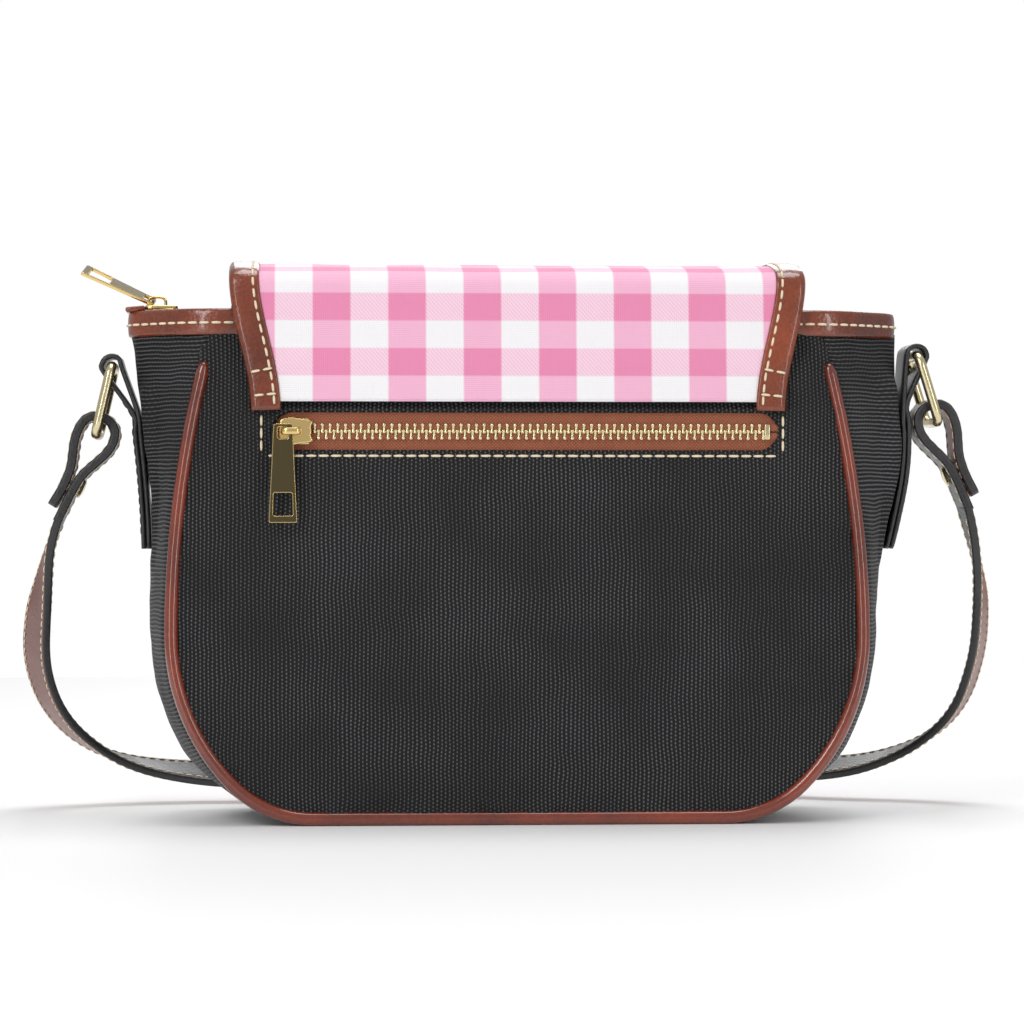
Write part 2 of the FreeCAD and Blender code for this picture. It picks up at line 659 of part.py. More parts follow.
def flap_top():
    """The strip over the mouth, gently crowned, between the two folds."""
    wide = D["binding_width"]
    half = D["flap_half_top"]
    back, front = D["fold_back_y"] + 3.8, D["fold_front_y"] - 3.8
    thick, cloth = D["binding_thick"], D["flap_thick"]
    crest = D["crest"]
    low_front, low_back = crest - 4.2, crest - 2.2

    def strip(base, depth):
        ends = [Vector(back, low_back + base, 0), Vector(0, crest + base, 0), Vector(front, low_front + base, 0)]
        lift = Vector(0, depth, 0)
        return [Part.Arc(ends[0], ends[1], ends[2]), Part.LineSegment(ends[2], ends[2] + lift),
                Part.Arc(ends[2] + lift, ends[1] + lift, ends[0] + lift), Part.LineSegment(ends[0] + lift, ends[0])]

    def crowned(name, edges, across, x):
        body, planes = new_body(name)
        sketch = new_sketch(body, planes, name + "_section", "YZ_Plane")
        sketch.addGeometry(edges, False)
        pad(body, sketch, across)
        return keep(body, name, at(x, 0, 0))

    inner = "2 * (dims.flap_half_top - dims.binding_width - 0.1)"
    crowned("flap_top_cloth", strip(thick - cloth, cloth), inner, 0)
    crowned("flap_top_lining", strip(0.0, thick - cloth - 0.2), inner, 0)
    crowned("flap_top_binding_left", strip(0.0, thick), "dims.binding_width", -(half - wide / 2))
    crowned("flap_top_binding_right", strip(0.0, thick), "dims.binding_width", half - wide / 2)


def flap_anchor():
    """The flap's sewn end: it stands on the back panel above the pocket and reaches the back fold."""
    low, top = D["anchor_bottom"], D["anchor_top"]
    wide = D["binding_width"]
    foot, head = 86.0, 91.5
    lean = math.degrees(math.atan(3.6 / (top - low)))
    thick, cloth = D["binding_thick"], D["flap_thick"]
    tall = (top - low) / math.cos(math.radians(lean))
    y = -31.6

    def slab(name, points, depth, out):
        place = Placement(Vector(0, y + out, low), Rotation(X, -lean))
        edges = [Part.LineSegment(points[i], points[(i + 1) % 4]) for i in range(4)]
        plate(name, "XZ_Plane", edges, depth, place)

    gap = 0.1
    cloth_points = [Vector(-foot + wide + gap, 2.5, 0), Vector(foot - wide - gap, 2.5, 0),
                    Vector(head - wide - gap, tall, 0), Vector(-head + wide + gap, tall, 0)]
    slab("flap_anchor_cloth", cloth_points, "dims.flap_thick", cloth / 2)
    for side, word in ((-1, "left"), (1, "right")):
        points = [Vector(side * foot, 0, 0), Vector(side * (foot - wide), 0, 0),
                  Vector(side * (head - wide), tall, 0), Vector(side * head, tall, 0)]
        slab("flap_anchor_binding_" + word, points, "dims.binding_thick", thick / 2)


def snap():
    """The hidden closure: a magnet socket on the front panel and its stud on the flap."""
    z = 62.0
    panel_y = half_depth(z) + D["dome"] * swell(0, z)
    flap_y = flap_depth(0, z)
    disc = cylinder("socket_disc", "dims.snap_width / 2", "1.4", (0, panel_y + 0.5, z), (0, 1, 0), False)
    hole = cylinder("socket_hole", "4.6", "1.0", (0, panel_y + 0.9 + 0.4, z), (0, 1, 0), False)
    cut("snap_socket", disc, hole)
    stud = cylinder("stud_disc", "dims.snap_width / 2", "1.0", (0, flap_y - 1.5, z), (0, 1, 0), False)
    boss = cylinder("stud_boss", "2.6", "1.2", (0, flap_y - 2.5, z), (0, 1, 0), False)
    fuse("snap_stud", [stud, boss])
    cylinder("snap_washer", "dims.snap_width / 2", "0.8", (0, panel_y - D["fabric"] - 1.5, z), (0, 1, 0))


# ---- side tabs, rings and strap ------------------------------------------------------------------

TAB_LOOP = {-1: Vector(-131.2, 0, 147.4), 1: Vector(132.6, 0, 151.4)}
RING_TILT = {-1: 13.0, 1: 17.0}


def ring_foot(side):
    """Centre of the ring's lower bar."""
    tilt = math.radians(RING_TILT[side])
    reach = D["ring_high"] - D["ring_tube"]
    return TAB_LOOP[side] + Vector(side * math.sin(tilt), 0, -math.cos(tilt)) * reach


def tab(side, word):
    """A folded leather tab on the side wall: two layers below, a round loop for the ring on top."""
    loop = TAB_LOOP[side]
    outer = D["loop_outer"]
    heights = [D["tab_bottom"], 100.0, 113.0, 127.0, loop.z - 9.0]
    near = [Vector(ridge_x(side, z) + side * D["tab_gap"], z, 0) for z in heights]
    far = [point + Vector(side * D["tab_thick"], 0, 0) for point in near]
    inner_top = Vector(loop.x - side * outer, loop.z, 0)
    crown = Vector(loop.x, loop.z + outer, 0)
    curve_in = Part.BSplineCurve()
    curve_in.interpolate([inner_top] + near[-2::-1])
    neck = Vector(loop.x + side * outer * 0.5, loop.z - outer * 0.87, 0)
    curve_out = Part.BSplineCurve()
    curve_out.interpolate(far[:-1] + [neck])
    slope = outer * math.sqrt(0.5)
    edges = [Part.Arc(neck, Vector(loop.x + side * outer, loop.z, 0), crown),
             Part.Arc(crown, Vector(loop.x - side * slope, loop.z + slope, 0), inner_top),
             curve_in, Part.LineSegment(near[0], far[0]), curve_out]
    hole = Part.Circle(Vector(loop.x, loop.z, 0), Z, D["ring_tube"] / 2 + D["ring_play"])
    plate("tab_" + word, "XZ_Plane", edges + [hole], "dims.tab_width")


def ring(side, word):
    """A rounded rectangular ring of round wire that hangs from the tab."""
    body, planes = new_body("ring_" + word)
    path = new_sketch(body, planes, word + "_ring_path", "YZ_Plane")
    tube = D["ring_tube"]
    high = D["ring_high"] - tube
    path.addGeometry(rounded(D["ring_wide"], high, D["ring_corner"]), False)
    section = new_sketch(body, planes, word + "_ring_section", "XZ_Plane")
    section.addGeometry(Part.Circle(Vector(0, -high / 2, 0), Z, tube / 2), False)
    limit(section, "tube", Sketcher.Constraint("Diameter", 0, tube), "dims.ring_tube")
    pipe = body.newObject("PartDesign::AdditivePipe", word + "_ring_wire")
    pipe.Profile = section
    pipe.Spine = (path, [])
    middle = (TAB_LOOP[side] + ring_foot(side)) / 2
    keep(body, "ring_" + word, Placement(middle, Rotation(Y, -side * RING_TILT[side])))


def strap_heading(side):
    """The direction in which the strap leaves its end loop."""
    slant = math.radians(24.0 if side < 0 else 21.0)
    return Vector(side * math.sin(slant), 0, -math.cos(slant))


def strap_end(side, word):
    """The strap's end: a loose loop round the ring, then two stitched and riveted layers."""
    foot = ring_foot(side)
    down = strap_heading(side)
    out = Vector(down.z, 0, -down.x) * -side
    radius, thick = D["end_loop"], D["strap_thick"]
    tail = D["strap_tail"]

    def spot(along, across):
        point = foot + down * along + out * across
        return Vector(point.x, point.z, 0)

    edges = [Part.Arc(spot(3.0, radius * 0.94), spot(-radius, 0), spot(3.0, -radius * 0.94)),
             Part.LineSegment(spot(3.0, -radius * 0.94), spot(12.5, -thick - 0.1)),
             Part.LineSegment(spot(12.5, -thick - 0.1), spot(tail, -thick - 0.1)),
             Part.LineSegment(spot(tail, -thick - 0.1), spot(tail, thick + 0.1)),
             Part.LineSegment(spot(tail, thick + 0.1), spot(12.5, thick + 0.1)),
             Part.LineSegment(spot(12.5, thick + 0.1), spot(3.0, radius * 0.94))]
    inside = radius - thick
    eye = [Part.Arc(spot(2.0, inside * 0.94), spot(-inside, 0), spot(2.0, -inside * 0.94)),
           Part.LineSegment(spot(2.0, -inside * 0.94), spot(10.0, 0)),
           Part.LineSegment(spot(10.0, 0), spot(2.0, inside * 0.94))]
    plate("strap_end_" + word, "XZ_Plane", edges + eye, "dims.strap_width")
    pin = foot + down * 17.0 - out * (thick + 0.3)
    cylinder("strap_rivet_" + word, "dims.rivet_width / 2", "0.8", (pin - out * 0.8)[:], out[:])


LEFT_ROUTE = [(-150.2, 2, 84.0), (-157.4, 12, 67.5), (-160.6, 24, 50.4), (-158.0, 36, 35.6), (-149.0, 47, 23.6),
              (-132.0, 56, 14.0), (-109.0, 61, 10.2), (-72.0, 62.5, 8.4), (-22.0, 62, 8.8), (22.0, 61.8, 9.6),
              (44.0, 62.6, 10.4), (54.5, 69, 11.0), (57.0, 77, 11.2), (54.0, 86, 11.2), (43.0, 91.6, 11.2),
              (20.0, 92.5, 11.2), (-24.0, 91.6, 11.2), (-60.0, 91.0, 11.2), (-74.0, 95, 11.2), (-78.0, 105, 11.2),
              (-74.0, 114.0, 11.2), (-60.0, 118.3, 11.2), (-44.0, 118.5, 11.2), (-24.0, 118.5, 11.2),
              (-6.0, 118.5, 11.2), (14.0, 118.5, 11.2), (34.0, 118.5, 11.2)]
RIGHT_ROUTE = [(152.6, 2, 84.0), (157.8, 10, 70.0), (159.6, 24, 50.4), (155.4, 38, 33.0), (145.4, 49, 21.0),
               (130.0, 57, 13.6), (114.0, 63, 10.6), (97.0, 74, 10.2), (83.0, 90, 10.6), (70.0, 106, 11.0),
               (54.0, 117, 11.2), (36.0, 121.6, 11.2), (20.0, 122.4, 11.2), (6.0, 122.4, 11.2),
               (-9.0, 122.4, 11.2)]


def upright(distance, total):
    """How far the strap has turned from lying across Y, at its ring, to standing on its edge."""
    share = min(1.0, max(0.0, distance / total))
    return share * share * (3 - 2 * share)


def ribbon(name, route, side, turn_length):
    """A flat strap along a smooth route that twists from across the bag to standing on edge."""
    line = Part.BSplineCurve()
    line.interpolate(Points=[Vector(*point) for point in route])
    length = line.length()
    steps = int(length / 5.5)
    width, thick = D["strap_width"] / 2, D["strap_thick"] / 2
    outer, inner = [], []
    for i in range(steps + 1):
        distance = length * i / steps
        along = line.parameterAtDistance(distance, line.FirstParameter)
        point = line.value(along)
        tangent = line.tangent(along)[0]
        share = upright(distance, turn_length)
        across = (Y * (1 - share) + Z * share).cross(tangent).cross(tangent).normalize() * -1
        normal = tangent.cross(across) * thick
        outer.append([point - across * width + normal, point + across * width + normal])
        inner.append([point - across * width - normal, point + across * width - normal])
    blocks = []
    for i in range(steps):
        corners = [outer[i][0], outer[i][1], inner[i][1], inner[i][0]]
        ahead = [outer[i + 1][0], outer[i + 1][1], inner[i + 1][1], inner[i + 1][0]]
        blocks.append((corners, ahead))
    return strap_solid(name, blocks), length


def strap_solid(name, blocks):
    """Flat triangles round every short span, closed by the two ends."""
    faces = []
    for corners, ahead in blocks:
        for k in range(4):
            a, b, c, d = corners[k], corners[(k + 1) % 4], ahead[(k + 1) % 4], ahead[k]
            faces.append(Part.Face(Part.makePolygon([a, b, c, a])))
            faces.append(Part.Face(Part.makePolygon([a, c, d, a])))
    for loop in (blocks[0][0], blocks[-1][1]):
        a, b, c, d = loop
        faces.append(Part.Face(Part.makePolygon([a, b, c, a])))
        faces.append(Part.Face(Part.makePolygon([a, c, d, a])))
    shell = Part.makeShell(faces)
    shell.sewShape()
    body = Part.makeSolid(Part.Shell(shell.Faces))
    if body.Volume < 0:
        body.reverse()
    return solid(name, body)


def strap_start(side):
    """Where the free strap begins: in line with its end loop, just past the stitched layers."""
    point = ring_foot(side) + strap_heading(side) * (D["strap_tail"] + 2.6)
    return (point.x, point.y, point.z)


def straps():
    """The long half with its free tip, the short half with the buckle, and what is on them."""
    long_half, long_length = ribbon("strap_long", [strap_start(-1)] + LEFT_ROUTE, -1, 170.0)
    short_half, short_length = ribbon("strap_short", [strap_start(1)] + RIGHT_ROUTE, 1, 165.0)
    print("strap lengths", round(long_length, 1), round(short_length, 1))
    y = 120.4
    z = 11.2
    frame_plate("buckle_frame", "XZ_Plane", ("dims.buckle_long", "dims.buckle_high"),
                ("dims.buckle_long - 2 * dims.buckle_bar", "dims.buckle_high - 2 * dims.buckle_bar"),
                "dims.buckle_bar", at(-20.0, 118.5, z, Z, 24.0))
    cylinder("buckle_prong", "0.7", "14.6", (-15.0, 115.7, z), (-14.5, -3.6, 0))
    outer = ("dims.strap_width + 4.4", "2 * dims.strap_thick + 4.4")
    inner = ("dims.strap_width + 1.2", "2 * dims.strap_thick + 1.2")
    for name, x, turn in (("keeper_fixed", 6.0, 0), ("keeper_sliding", 22.0, 0)):
        frame_plate(name, "YZ_Plane", outer[::-1], inner[::-1], "6.0", at(x, y, z, X, turn))


def sides():
    for side, word in ((-1, "left"), (1, "right")):
        tab(side, word)
        ring(side, word)
        strap_end(side, word)
    straps()


def finish():
    """Check every object, then write each sub-part to its own file."""
    doc.recompute()
    for item in doc.Objects:
        if "Invalid" in item.State or "Error" in item.State:
            raise RuntimeError(f"{item.Label}: {item.State}")
    os.makedirs("parts", exist_ok=True)
    for item in parts:
        if item.Shape.isNull() or not item.Shape.isValid():
            raise RuntimeError(f"{item.Label} has no valid shape")
        print(item.Label, len(item.Shape.Solids), round(item.Shape.Volume, 1))
        item.Shape.exportStep(f"parts/{item.Label}.step")


shell()
pocket()
mouth()
flap_anchor()
flap_top()
flap_front()
snap()
sides()
finish()
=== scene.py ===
"""Crossbody purse: fabric, leather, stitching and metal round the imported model. Lengths are metres."""
import json
import math
import bpy
import bmesh
from mathutils import Matrix, Vector, noise
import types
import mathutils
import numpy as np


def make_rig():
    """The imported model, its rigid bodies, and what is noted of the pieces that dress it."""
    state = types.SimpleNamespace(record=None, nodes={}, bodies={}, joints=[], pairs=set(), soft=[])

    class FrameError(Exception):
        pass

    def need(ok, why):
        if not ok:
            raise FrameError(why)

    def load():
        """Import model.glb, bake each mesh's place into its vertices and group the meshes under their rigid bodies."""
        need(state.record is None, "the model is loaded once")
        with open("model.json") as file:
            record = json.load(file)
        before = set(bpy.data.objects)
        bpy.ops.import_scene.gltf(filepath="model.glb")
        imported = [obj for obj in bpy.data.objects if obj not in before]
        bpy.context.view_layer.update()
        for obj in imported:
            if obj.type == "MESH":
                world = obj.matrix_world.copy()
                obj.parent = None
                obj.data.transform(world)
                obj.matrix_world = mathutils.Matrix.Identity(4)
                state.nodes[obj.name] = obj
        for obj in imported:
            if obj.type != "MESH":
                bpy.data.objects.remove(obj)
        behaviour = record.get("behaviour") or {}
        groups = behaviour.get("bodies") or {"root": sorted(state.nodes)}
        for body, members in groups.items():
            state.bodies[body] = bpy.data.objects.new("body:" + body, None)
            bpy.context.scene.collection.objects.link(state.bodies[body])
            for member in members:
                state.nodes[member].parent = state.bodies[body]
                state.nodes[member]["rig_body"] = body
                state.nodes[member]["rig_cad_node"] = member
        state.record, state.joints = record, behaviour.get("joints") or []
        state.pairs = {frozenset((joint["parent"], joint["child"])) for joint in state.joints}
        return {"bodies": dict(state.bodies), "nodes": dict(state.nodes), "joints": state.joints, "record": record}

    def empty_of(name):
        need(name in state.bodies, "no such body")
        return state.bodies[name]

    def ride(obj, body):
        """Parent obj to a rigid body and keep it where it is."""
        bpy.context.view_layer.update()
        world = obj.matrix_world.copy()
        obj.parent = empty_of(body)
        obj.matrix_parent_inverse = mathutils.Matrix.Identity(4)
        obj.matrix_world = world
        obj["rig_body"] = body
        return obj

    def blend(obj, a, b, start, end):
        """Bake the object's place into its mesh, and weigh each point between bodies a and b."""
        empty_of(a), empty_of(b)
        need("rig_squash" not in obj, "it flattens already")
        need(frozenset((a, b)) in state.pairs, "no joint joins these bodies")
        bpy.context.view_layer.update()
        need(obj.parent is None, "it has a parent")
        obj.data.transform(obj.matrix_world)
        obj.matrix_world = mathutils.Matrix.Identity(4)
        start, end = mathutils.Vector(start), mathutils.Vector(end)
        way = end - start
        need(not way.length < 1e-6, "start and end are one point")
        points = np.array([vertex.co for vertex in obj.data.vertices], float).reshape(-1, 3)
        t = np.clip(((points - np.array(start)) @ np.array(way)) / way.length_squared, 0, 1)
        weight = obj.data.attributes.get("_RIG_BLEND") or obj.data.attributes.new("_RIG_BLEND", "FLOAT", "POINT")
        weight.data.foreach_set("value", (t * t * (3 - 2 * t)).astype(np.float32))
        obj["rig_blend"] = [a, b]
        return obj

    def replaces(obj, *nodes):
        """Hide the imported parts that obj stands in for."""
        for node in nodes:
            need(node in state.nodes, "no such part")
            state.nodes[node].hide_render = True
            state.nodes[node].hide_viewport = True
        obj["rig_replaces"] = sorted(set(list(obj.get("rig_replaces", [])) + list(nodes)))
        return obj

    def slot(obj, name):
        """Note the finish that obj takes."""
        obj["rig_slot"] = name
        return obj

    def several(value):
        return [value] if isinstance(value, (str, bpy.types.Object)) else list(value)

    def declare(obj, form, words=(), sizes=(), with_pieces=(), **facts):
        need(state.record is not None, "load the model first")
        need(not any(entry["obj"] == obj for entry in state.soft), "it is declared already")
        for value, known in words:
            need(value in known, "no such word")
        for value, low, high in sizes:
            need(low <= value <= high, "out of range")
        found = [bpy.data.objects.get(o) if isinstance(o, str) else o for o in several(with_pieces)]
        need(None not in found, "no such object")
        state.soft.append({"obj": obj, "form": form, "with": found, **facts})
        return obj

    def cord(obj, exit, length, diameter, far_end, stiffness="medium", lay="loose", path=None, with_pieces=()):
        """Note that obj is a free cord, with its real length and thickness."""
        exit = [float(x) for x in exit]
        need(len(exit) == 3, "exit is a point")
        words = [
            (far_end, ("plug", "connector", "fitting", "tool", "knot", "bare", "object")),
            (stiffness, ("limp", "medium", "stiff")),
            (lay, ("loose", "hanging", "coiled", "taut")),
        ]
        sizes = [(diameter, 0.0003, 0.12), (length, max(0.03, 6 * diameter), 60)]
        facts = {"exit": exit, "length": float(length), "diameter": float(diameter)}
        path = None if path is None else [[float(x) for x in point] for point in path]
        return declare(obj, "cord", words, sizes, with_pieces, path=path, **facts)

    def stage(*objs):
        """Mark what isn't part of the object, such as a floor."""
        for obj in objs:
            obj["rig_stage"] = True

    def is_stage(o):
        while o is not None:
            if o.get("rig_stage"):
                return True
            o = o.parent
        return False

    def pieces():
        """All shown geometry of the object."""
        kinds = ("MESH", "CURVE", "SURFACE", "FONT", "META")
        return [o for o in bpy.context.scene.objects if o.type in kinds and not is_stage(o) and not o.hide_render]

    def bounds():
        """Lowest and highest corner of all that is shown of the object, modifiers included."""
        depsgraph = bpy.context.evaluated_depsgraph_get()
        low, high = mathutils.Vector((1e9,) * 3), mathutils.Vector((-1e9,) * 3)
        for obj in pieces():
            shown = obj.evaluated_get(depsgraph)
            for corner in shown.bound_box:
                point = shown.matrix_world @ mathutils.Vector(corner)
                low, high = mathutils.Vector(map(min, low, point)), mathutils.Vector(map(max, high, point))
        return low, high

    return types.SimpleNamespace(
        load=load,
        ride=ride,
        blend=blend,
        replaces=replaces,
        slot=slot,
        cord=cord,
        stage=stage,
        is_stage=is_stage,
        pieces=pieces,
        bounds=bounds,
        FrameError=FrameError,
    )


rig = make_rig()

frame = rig.load()
cad_bounds = [list(corner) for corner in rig.bounds()]
MM = 0.001
X = Vector((1, 0, 0))
Y = Vector((0, 1, 0))
Z = Vector((0, 0, 1))

# ---- materials ---------------------------------------------------------------------------------


def linear(red, green, blue):
    """A linear colour from three sRGB values of 0 to 255."""
    def one(value):
        share = value / 255
        return share / 12.92 if share <= 0.04045 else ((share + 0.055) / 1.055) ** 2.4
    return (one(red), one(green), one(blue), 1.0)


class Nodes:
    """A short way to wire up one material's nodes."""

    def __init__(self, name):
        self.material = bpy.data.materials.new(name)
        self.material.use_nodes = True
        self.tree = self.material.node_tree
        self.shader = self.tree.nodes["Principled BSDF"]

    def add(self, kind, inputs=None, **settings):
        node = self.tree.nodes.new(kind)
        for key, value in settings.items():
            setattr(node, key, value)
        for key, value in (inputs or {}).items():
            if isinstance(value, bpy.types.NodeSocket):
                self.tree.links.new(value, node.inputs[key])
            else:
                node.inputs[key].default_value = value
        return node

    def math(self, operation, first, second=0.0):
        return self.add("ShaderNodeMath", {0: first, 1: second}, operation=operation).outputs[0]

    def mix(self, share, first, second):
        node = self.add("ShaderNodeMix", data_type="RGBA")
        for socket, value in ((node.inputs[0], share), (node.inputs[6], first), (node.inputs[7], second)):
            if isinstance(value, bpy.types.NodeSocket):
                self.tree.links.new(value, socket)
            else:
                socket.default_value = value
        return node.outputs[2]

    def cloth(self):
        """The cloth's own two directions, in metres."""
        node = self.add("ShaderNodeSeparateXYZ", {0: self.add("ShaderNodeUVMap", uv_map="cloth").outputs[0]})
        return node.outputs[0], node.outputs[1]

    def place(self):
        return self.add("ShaderNodeTexCoord").outputs["Object"]

    def wave(self, along, pitch, phase=0.0):
        """A smooth wave from 0 to 1 with one crest every pitch."""
        turn = self.math("ADD", self.math("MULTIPLY", along, 2 * math.pi / pitch), phase)
        return self.math("ADD", self.math("MULTIPLY", self.math("SINE", turn), 0.5), 0.5)

    def noise(self, scale, detail=3.0, vector=None):
        inputs = {"Vector": vector or self.place(), "Scale": scale, "Detail": detail}
        return self.add("ShaderNodeTexNoise", inputs).outputs[0]

    def ramp(self, share, stops):
        node = self.add("ShaderNodeValToRGB", {0: share})
        node.color_ramp.elements[0].position = stops[0][0]
        node.color_ramp.elements[0].color = stops[0][1]
        node.color_ramp.elements[1].position = stops[-1][0]
        node.color_ramp.elements[1].color = stops[-1][1]
        for place, colour in stops[1:-1]:
            node.color_ramp.elements.new(place).color = colour
        return node.outputs[0]

    def bump(self, height, depth, strength=1.0):
        inputs = {"Height": height, "Distance": depth, "Strength": strength}
        self.tree.links.new(self.add("ShaderNodeBump", inputs).outputs[0], self.shader.inputs["Normal"])

    def colour(self, value):
        if isinstance(value, bpy.types.NodeSocket):
            self.tree.links.new(value, self.shader.inputs["Base Color"])
        else:
            self.shader.inputs["Base Color"].default_value = value

    def finish(self, roughness, **sockets):
        if isinstance(roughness, bpy.types.NodeSocket):
            self.tree.links.new(roughness, self.shader.inputs["Roughness"])
        else:
            self.shader.inputs["Roughness"].default_value = roughness
        for key, value in sockets.items():
            self.shader.inputs[key.replace("_", " ").title().replace("Ior", "IOR")].default_value = value
        return self.material


def ribbed_cloth(name, rib_axis, pitch, dots, contrast):
    """Black woven cloth: raised ribs across one direction, broken into threads along the other; the raised threads are
    painted lighter as a highlight, in patches of painted light and shade.
    """
    n = Nodes(name)
    sides = n.cloth()
    across, along = sides[rib_axis], sides[1 - rib_axis]
    sway = n.math("MULTIPLY", n.noise(70.0, 2.0), pitch * 1.6)
    lane = n.math("ADD", across, sway)
    ribs = n.wave(lane, pitch)
    shift = n.math("MULTIPLY", n.math("FLOOR", n.math("DIVIDE", lane, pitch)), math.pi)
    threads = n.wave(along, dots, shift)
    depth = n.math("ADD", n.math("MULTIPLY", threads, contrast), 1.0 - contrast)
    height = n.math("MULTIPLY", ribs, depth)
    # Painted highlight: the colour rises with the raised threads, and a slow noise spreads it in patches of painted
    # light and shade.
    painted_crest_light = n.math("MULTIPLY", height, n.math("ADD", n.math("MULTIPLY", n.noise(30.0), 0.8), 0.45))
    n.colour(n.ramp(painted_crest_light, [(0.1, linear(7, 7, 8)), (0.42, linear(24, 24, 26)), (0.85, linear(98, 98, 101))]))
    n.bump(height, 0.0005, 0.9)
    return n.finish(0.62, sheen_weight=0.12, sheen_roughness=0.4, specular_ior_level=0.3)


def leather(name, dark, light, roughness, grain=900.0, coat=0.25, depth=0.00025):
    """Smooth leather: blotched colour, fine grain and a soft polish."""
    n = Nodes(name)
    blotch = n.noise(28.0, 4.0)
    pores = n.add("ShaderNodeTexVoronoi", {"Vector": n.place(), "Scale": grain}).outputs["Distance"]
    n.colour(n.ramp(n.math("ADD", n.math("MULTIPLY", blotch, 0.85), n.math("MULTIPLY", pores, 0.15)),
                    [(0.3, dark), (0.72, light)]))
    n.bump(n.math("ADD", n.math("MULTIPLY", pores, 0.6), n.noise(160.0)), depth, 0.7)
    rough = n.math("ADD", n.math("MULTIPLY", n.noise(60.0), 0.22), roughness - 0.11)
    return n.finish(rough, coat_weight=coat, coat_roughness=0.1, specular_ior_level=0.5)


COLUMN = 24.2 * MM
ROW = 17.8 * MM
COLUMN_START = 6.4 * MM
ROW_START = 143.5 * MM


def gingham():
    """Woven check: solid where two coloured bands cross, a diagonal twill of dots where they cross white."""
    n = Nodes("gingham")
    u, v = n.cloth()

    def band(along, start, period, softness):
        share = n.math("FRACT", n.math("DIVIDE", n.math("SUBTRACT", along, start - 40 * period), period))
        edge = n.math("ABSOLUTE", n.math("SUBTRACT", share, 0.25))
        step = n.add("ShaderNodeMapRange", {"Value": edge, "From Min": 0.25 - softness,
                                            "From Max": 0.25 + softness, "To Min": 1.0, "To Max": 0.0})
        far = n.add("ShaderNodeMapRange", {"Value": share, "From Min": 1.0 - softness, "From Max": 1.0})
        return n.math("MAXIMUM", step.outputs[0], n.math("MULTIPLY", far.outputs[0], 0.5))

    warp = band(u, COLUMN_START, COLUMN, 0.012)
    weft = band(v, ROW_START, ROW, 0.016)
    twill = n.wave(n.math("ADD", u, n.math("MULTIPLY", v, 0.9)), 1.25 * MM)
    thread_u = n.wave(u, 0.62 * MM)
    thread_v = n.wave(v, 0.62 * MM)
    white, mid = linear(243, 241, 243), linear(238, 172, 203)
    dark, pale = linear(229, 132, 173), linear(244, 214, 228)
    dots = n.math("MULTIPLY", twill, n.math("ADD", n.math("MULTIPLY", thread_u, 0.5), 0.5))
    weft_only = n.mix(n.math("MULTIPLY", dots, 0.75), pale, linear(236, 170, 200))
    warp_only = n.mix(n.math("MULTIPLY", thread_v, 0.35), mid, linear(246, 206, 224))
    plain = n.mix(n.math("MULTIPLY", thread_v, 0.25), white, linear(226, 222, 227))
    cross = n.mix(n.math("MULTIPLY", thread_u, 0.3), dark, linear(240, 160, 194))
    with_weft = n.mix(warp, weft_only, cross)
    without = n.mix(warp, plain, warp_only)
    n.colour(n.mix(weft, without, with_weft))
    n.bump(n.math("ADD", n.math("MULTIPLY", thread_u, 0.5), n.math("MULTIPLY", thread_v, 0.5)), 0.00018, 0.5)
    return n.finish(0.72, sheen_weight=0.15, sheen_roughness=0.5)


def metal(name, colour, roughness):
    n = Nodes(name)
    smudge = n.noise(140.0, 2.0)
    n.colour(n.mix(n.math("MULTIPLY", smudge, 0.35), colour, tuple(part * 0.72 for part in colour[:3]) + (1.0,)))
    n.bump(n.noise(420.0, 2.0), 0.00003, 0.25)
    rough = n.math("ADD", n.math("MULTIPLY", smudge, 0.12), roughness)
    return n.finish(rough, metallic=1.0)


def woven(name, dark, light, pitch, roughness=0.75):
    """Plain woven tape or lining."""
    n = Nodes(name)
    place = n.add("ShaderNodeSeparateXYZ", {0: n.place()})
    slant = n.math("ADD", place.outputs[0], place.outputs[2])
    weave = n.math("MULTIPLY", n.wave(slant, pitch), n.wave(n.math("SUBTRACT", place.outputs[0],
                                                                   place.outputs[2]), pitch))
    n.colour(n.mix(n.math("ADD", n.math("MULTIPLY", weave, 0.8), n.math("MULTIPLY", n.noise(200.0), 0.25)),
                   dark, light))
    n.bump(weave, 0.0002, 0.7)
    return n.finish(roughness, sheen_weight=0.2, sheen_roughness=0.5)


def thread(name, colour):
    """Waxed sewing thread with its twist."""
    n = Nodes(name)
    place = n.add("ShaderNodeSeparateXYZ", {0: n.place()})
    twist = n.wave(n.math("ADD", place.outputs[0], n.math("ADD", place.outputs[2], place.outputs[1])), 0.7 * MM)
    n.colour(n.mix(n.math("MULTIPLY", twist, 0.45), colour, tuple(part * 0.6 for part in colour[:3]) + (1.0,)))
    n.bump(twist, 0.0001, 0.6)
    return n.finish(0.6)


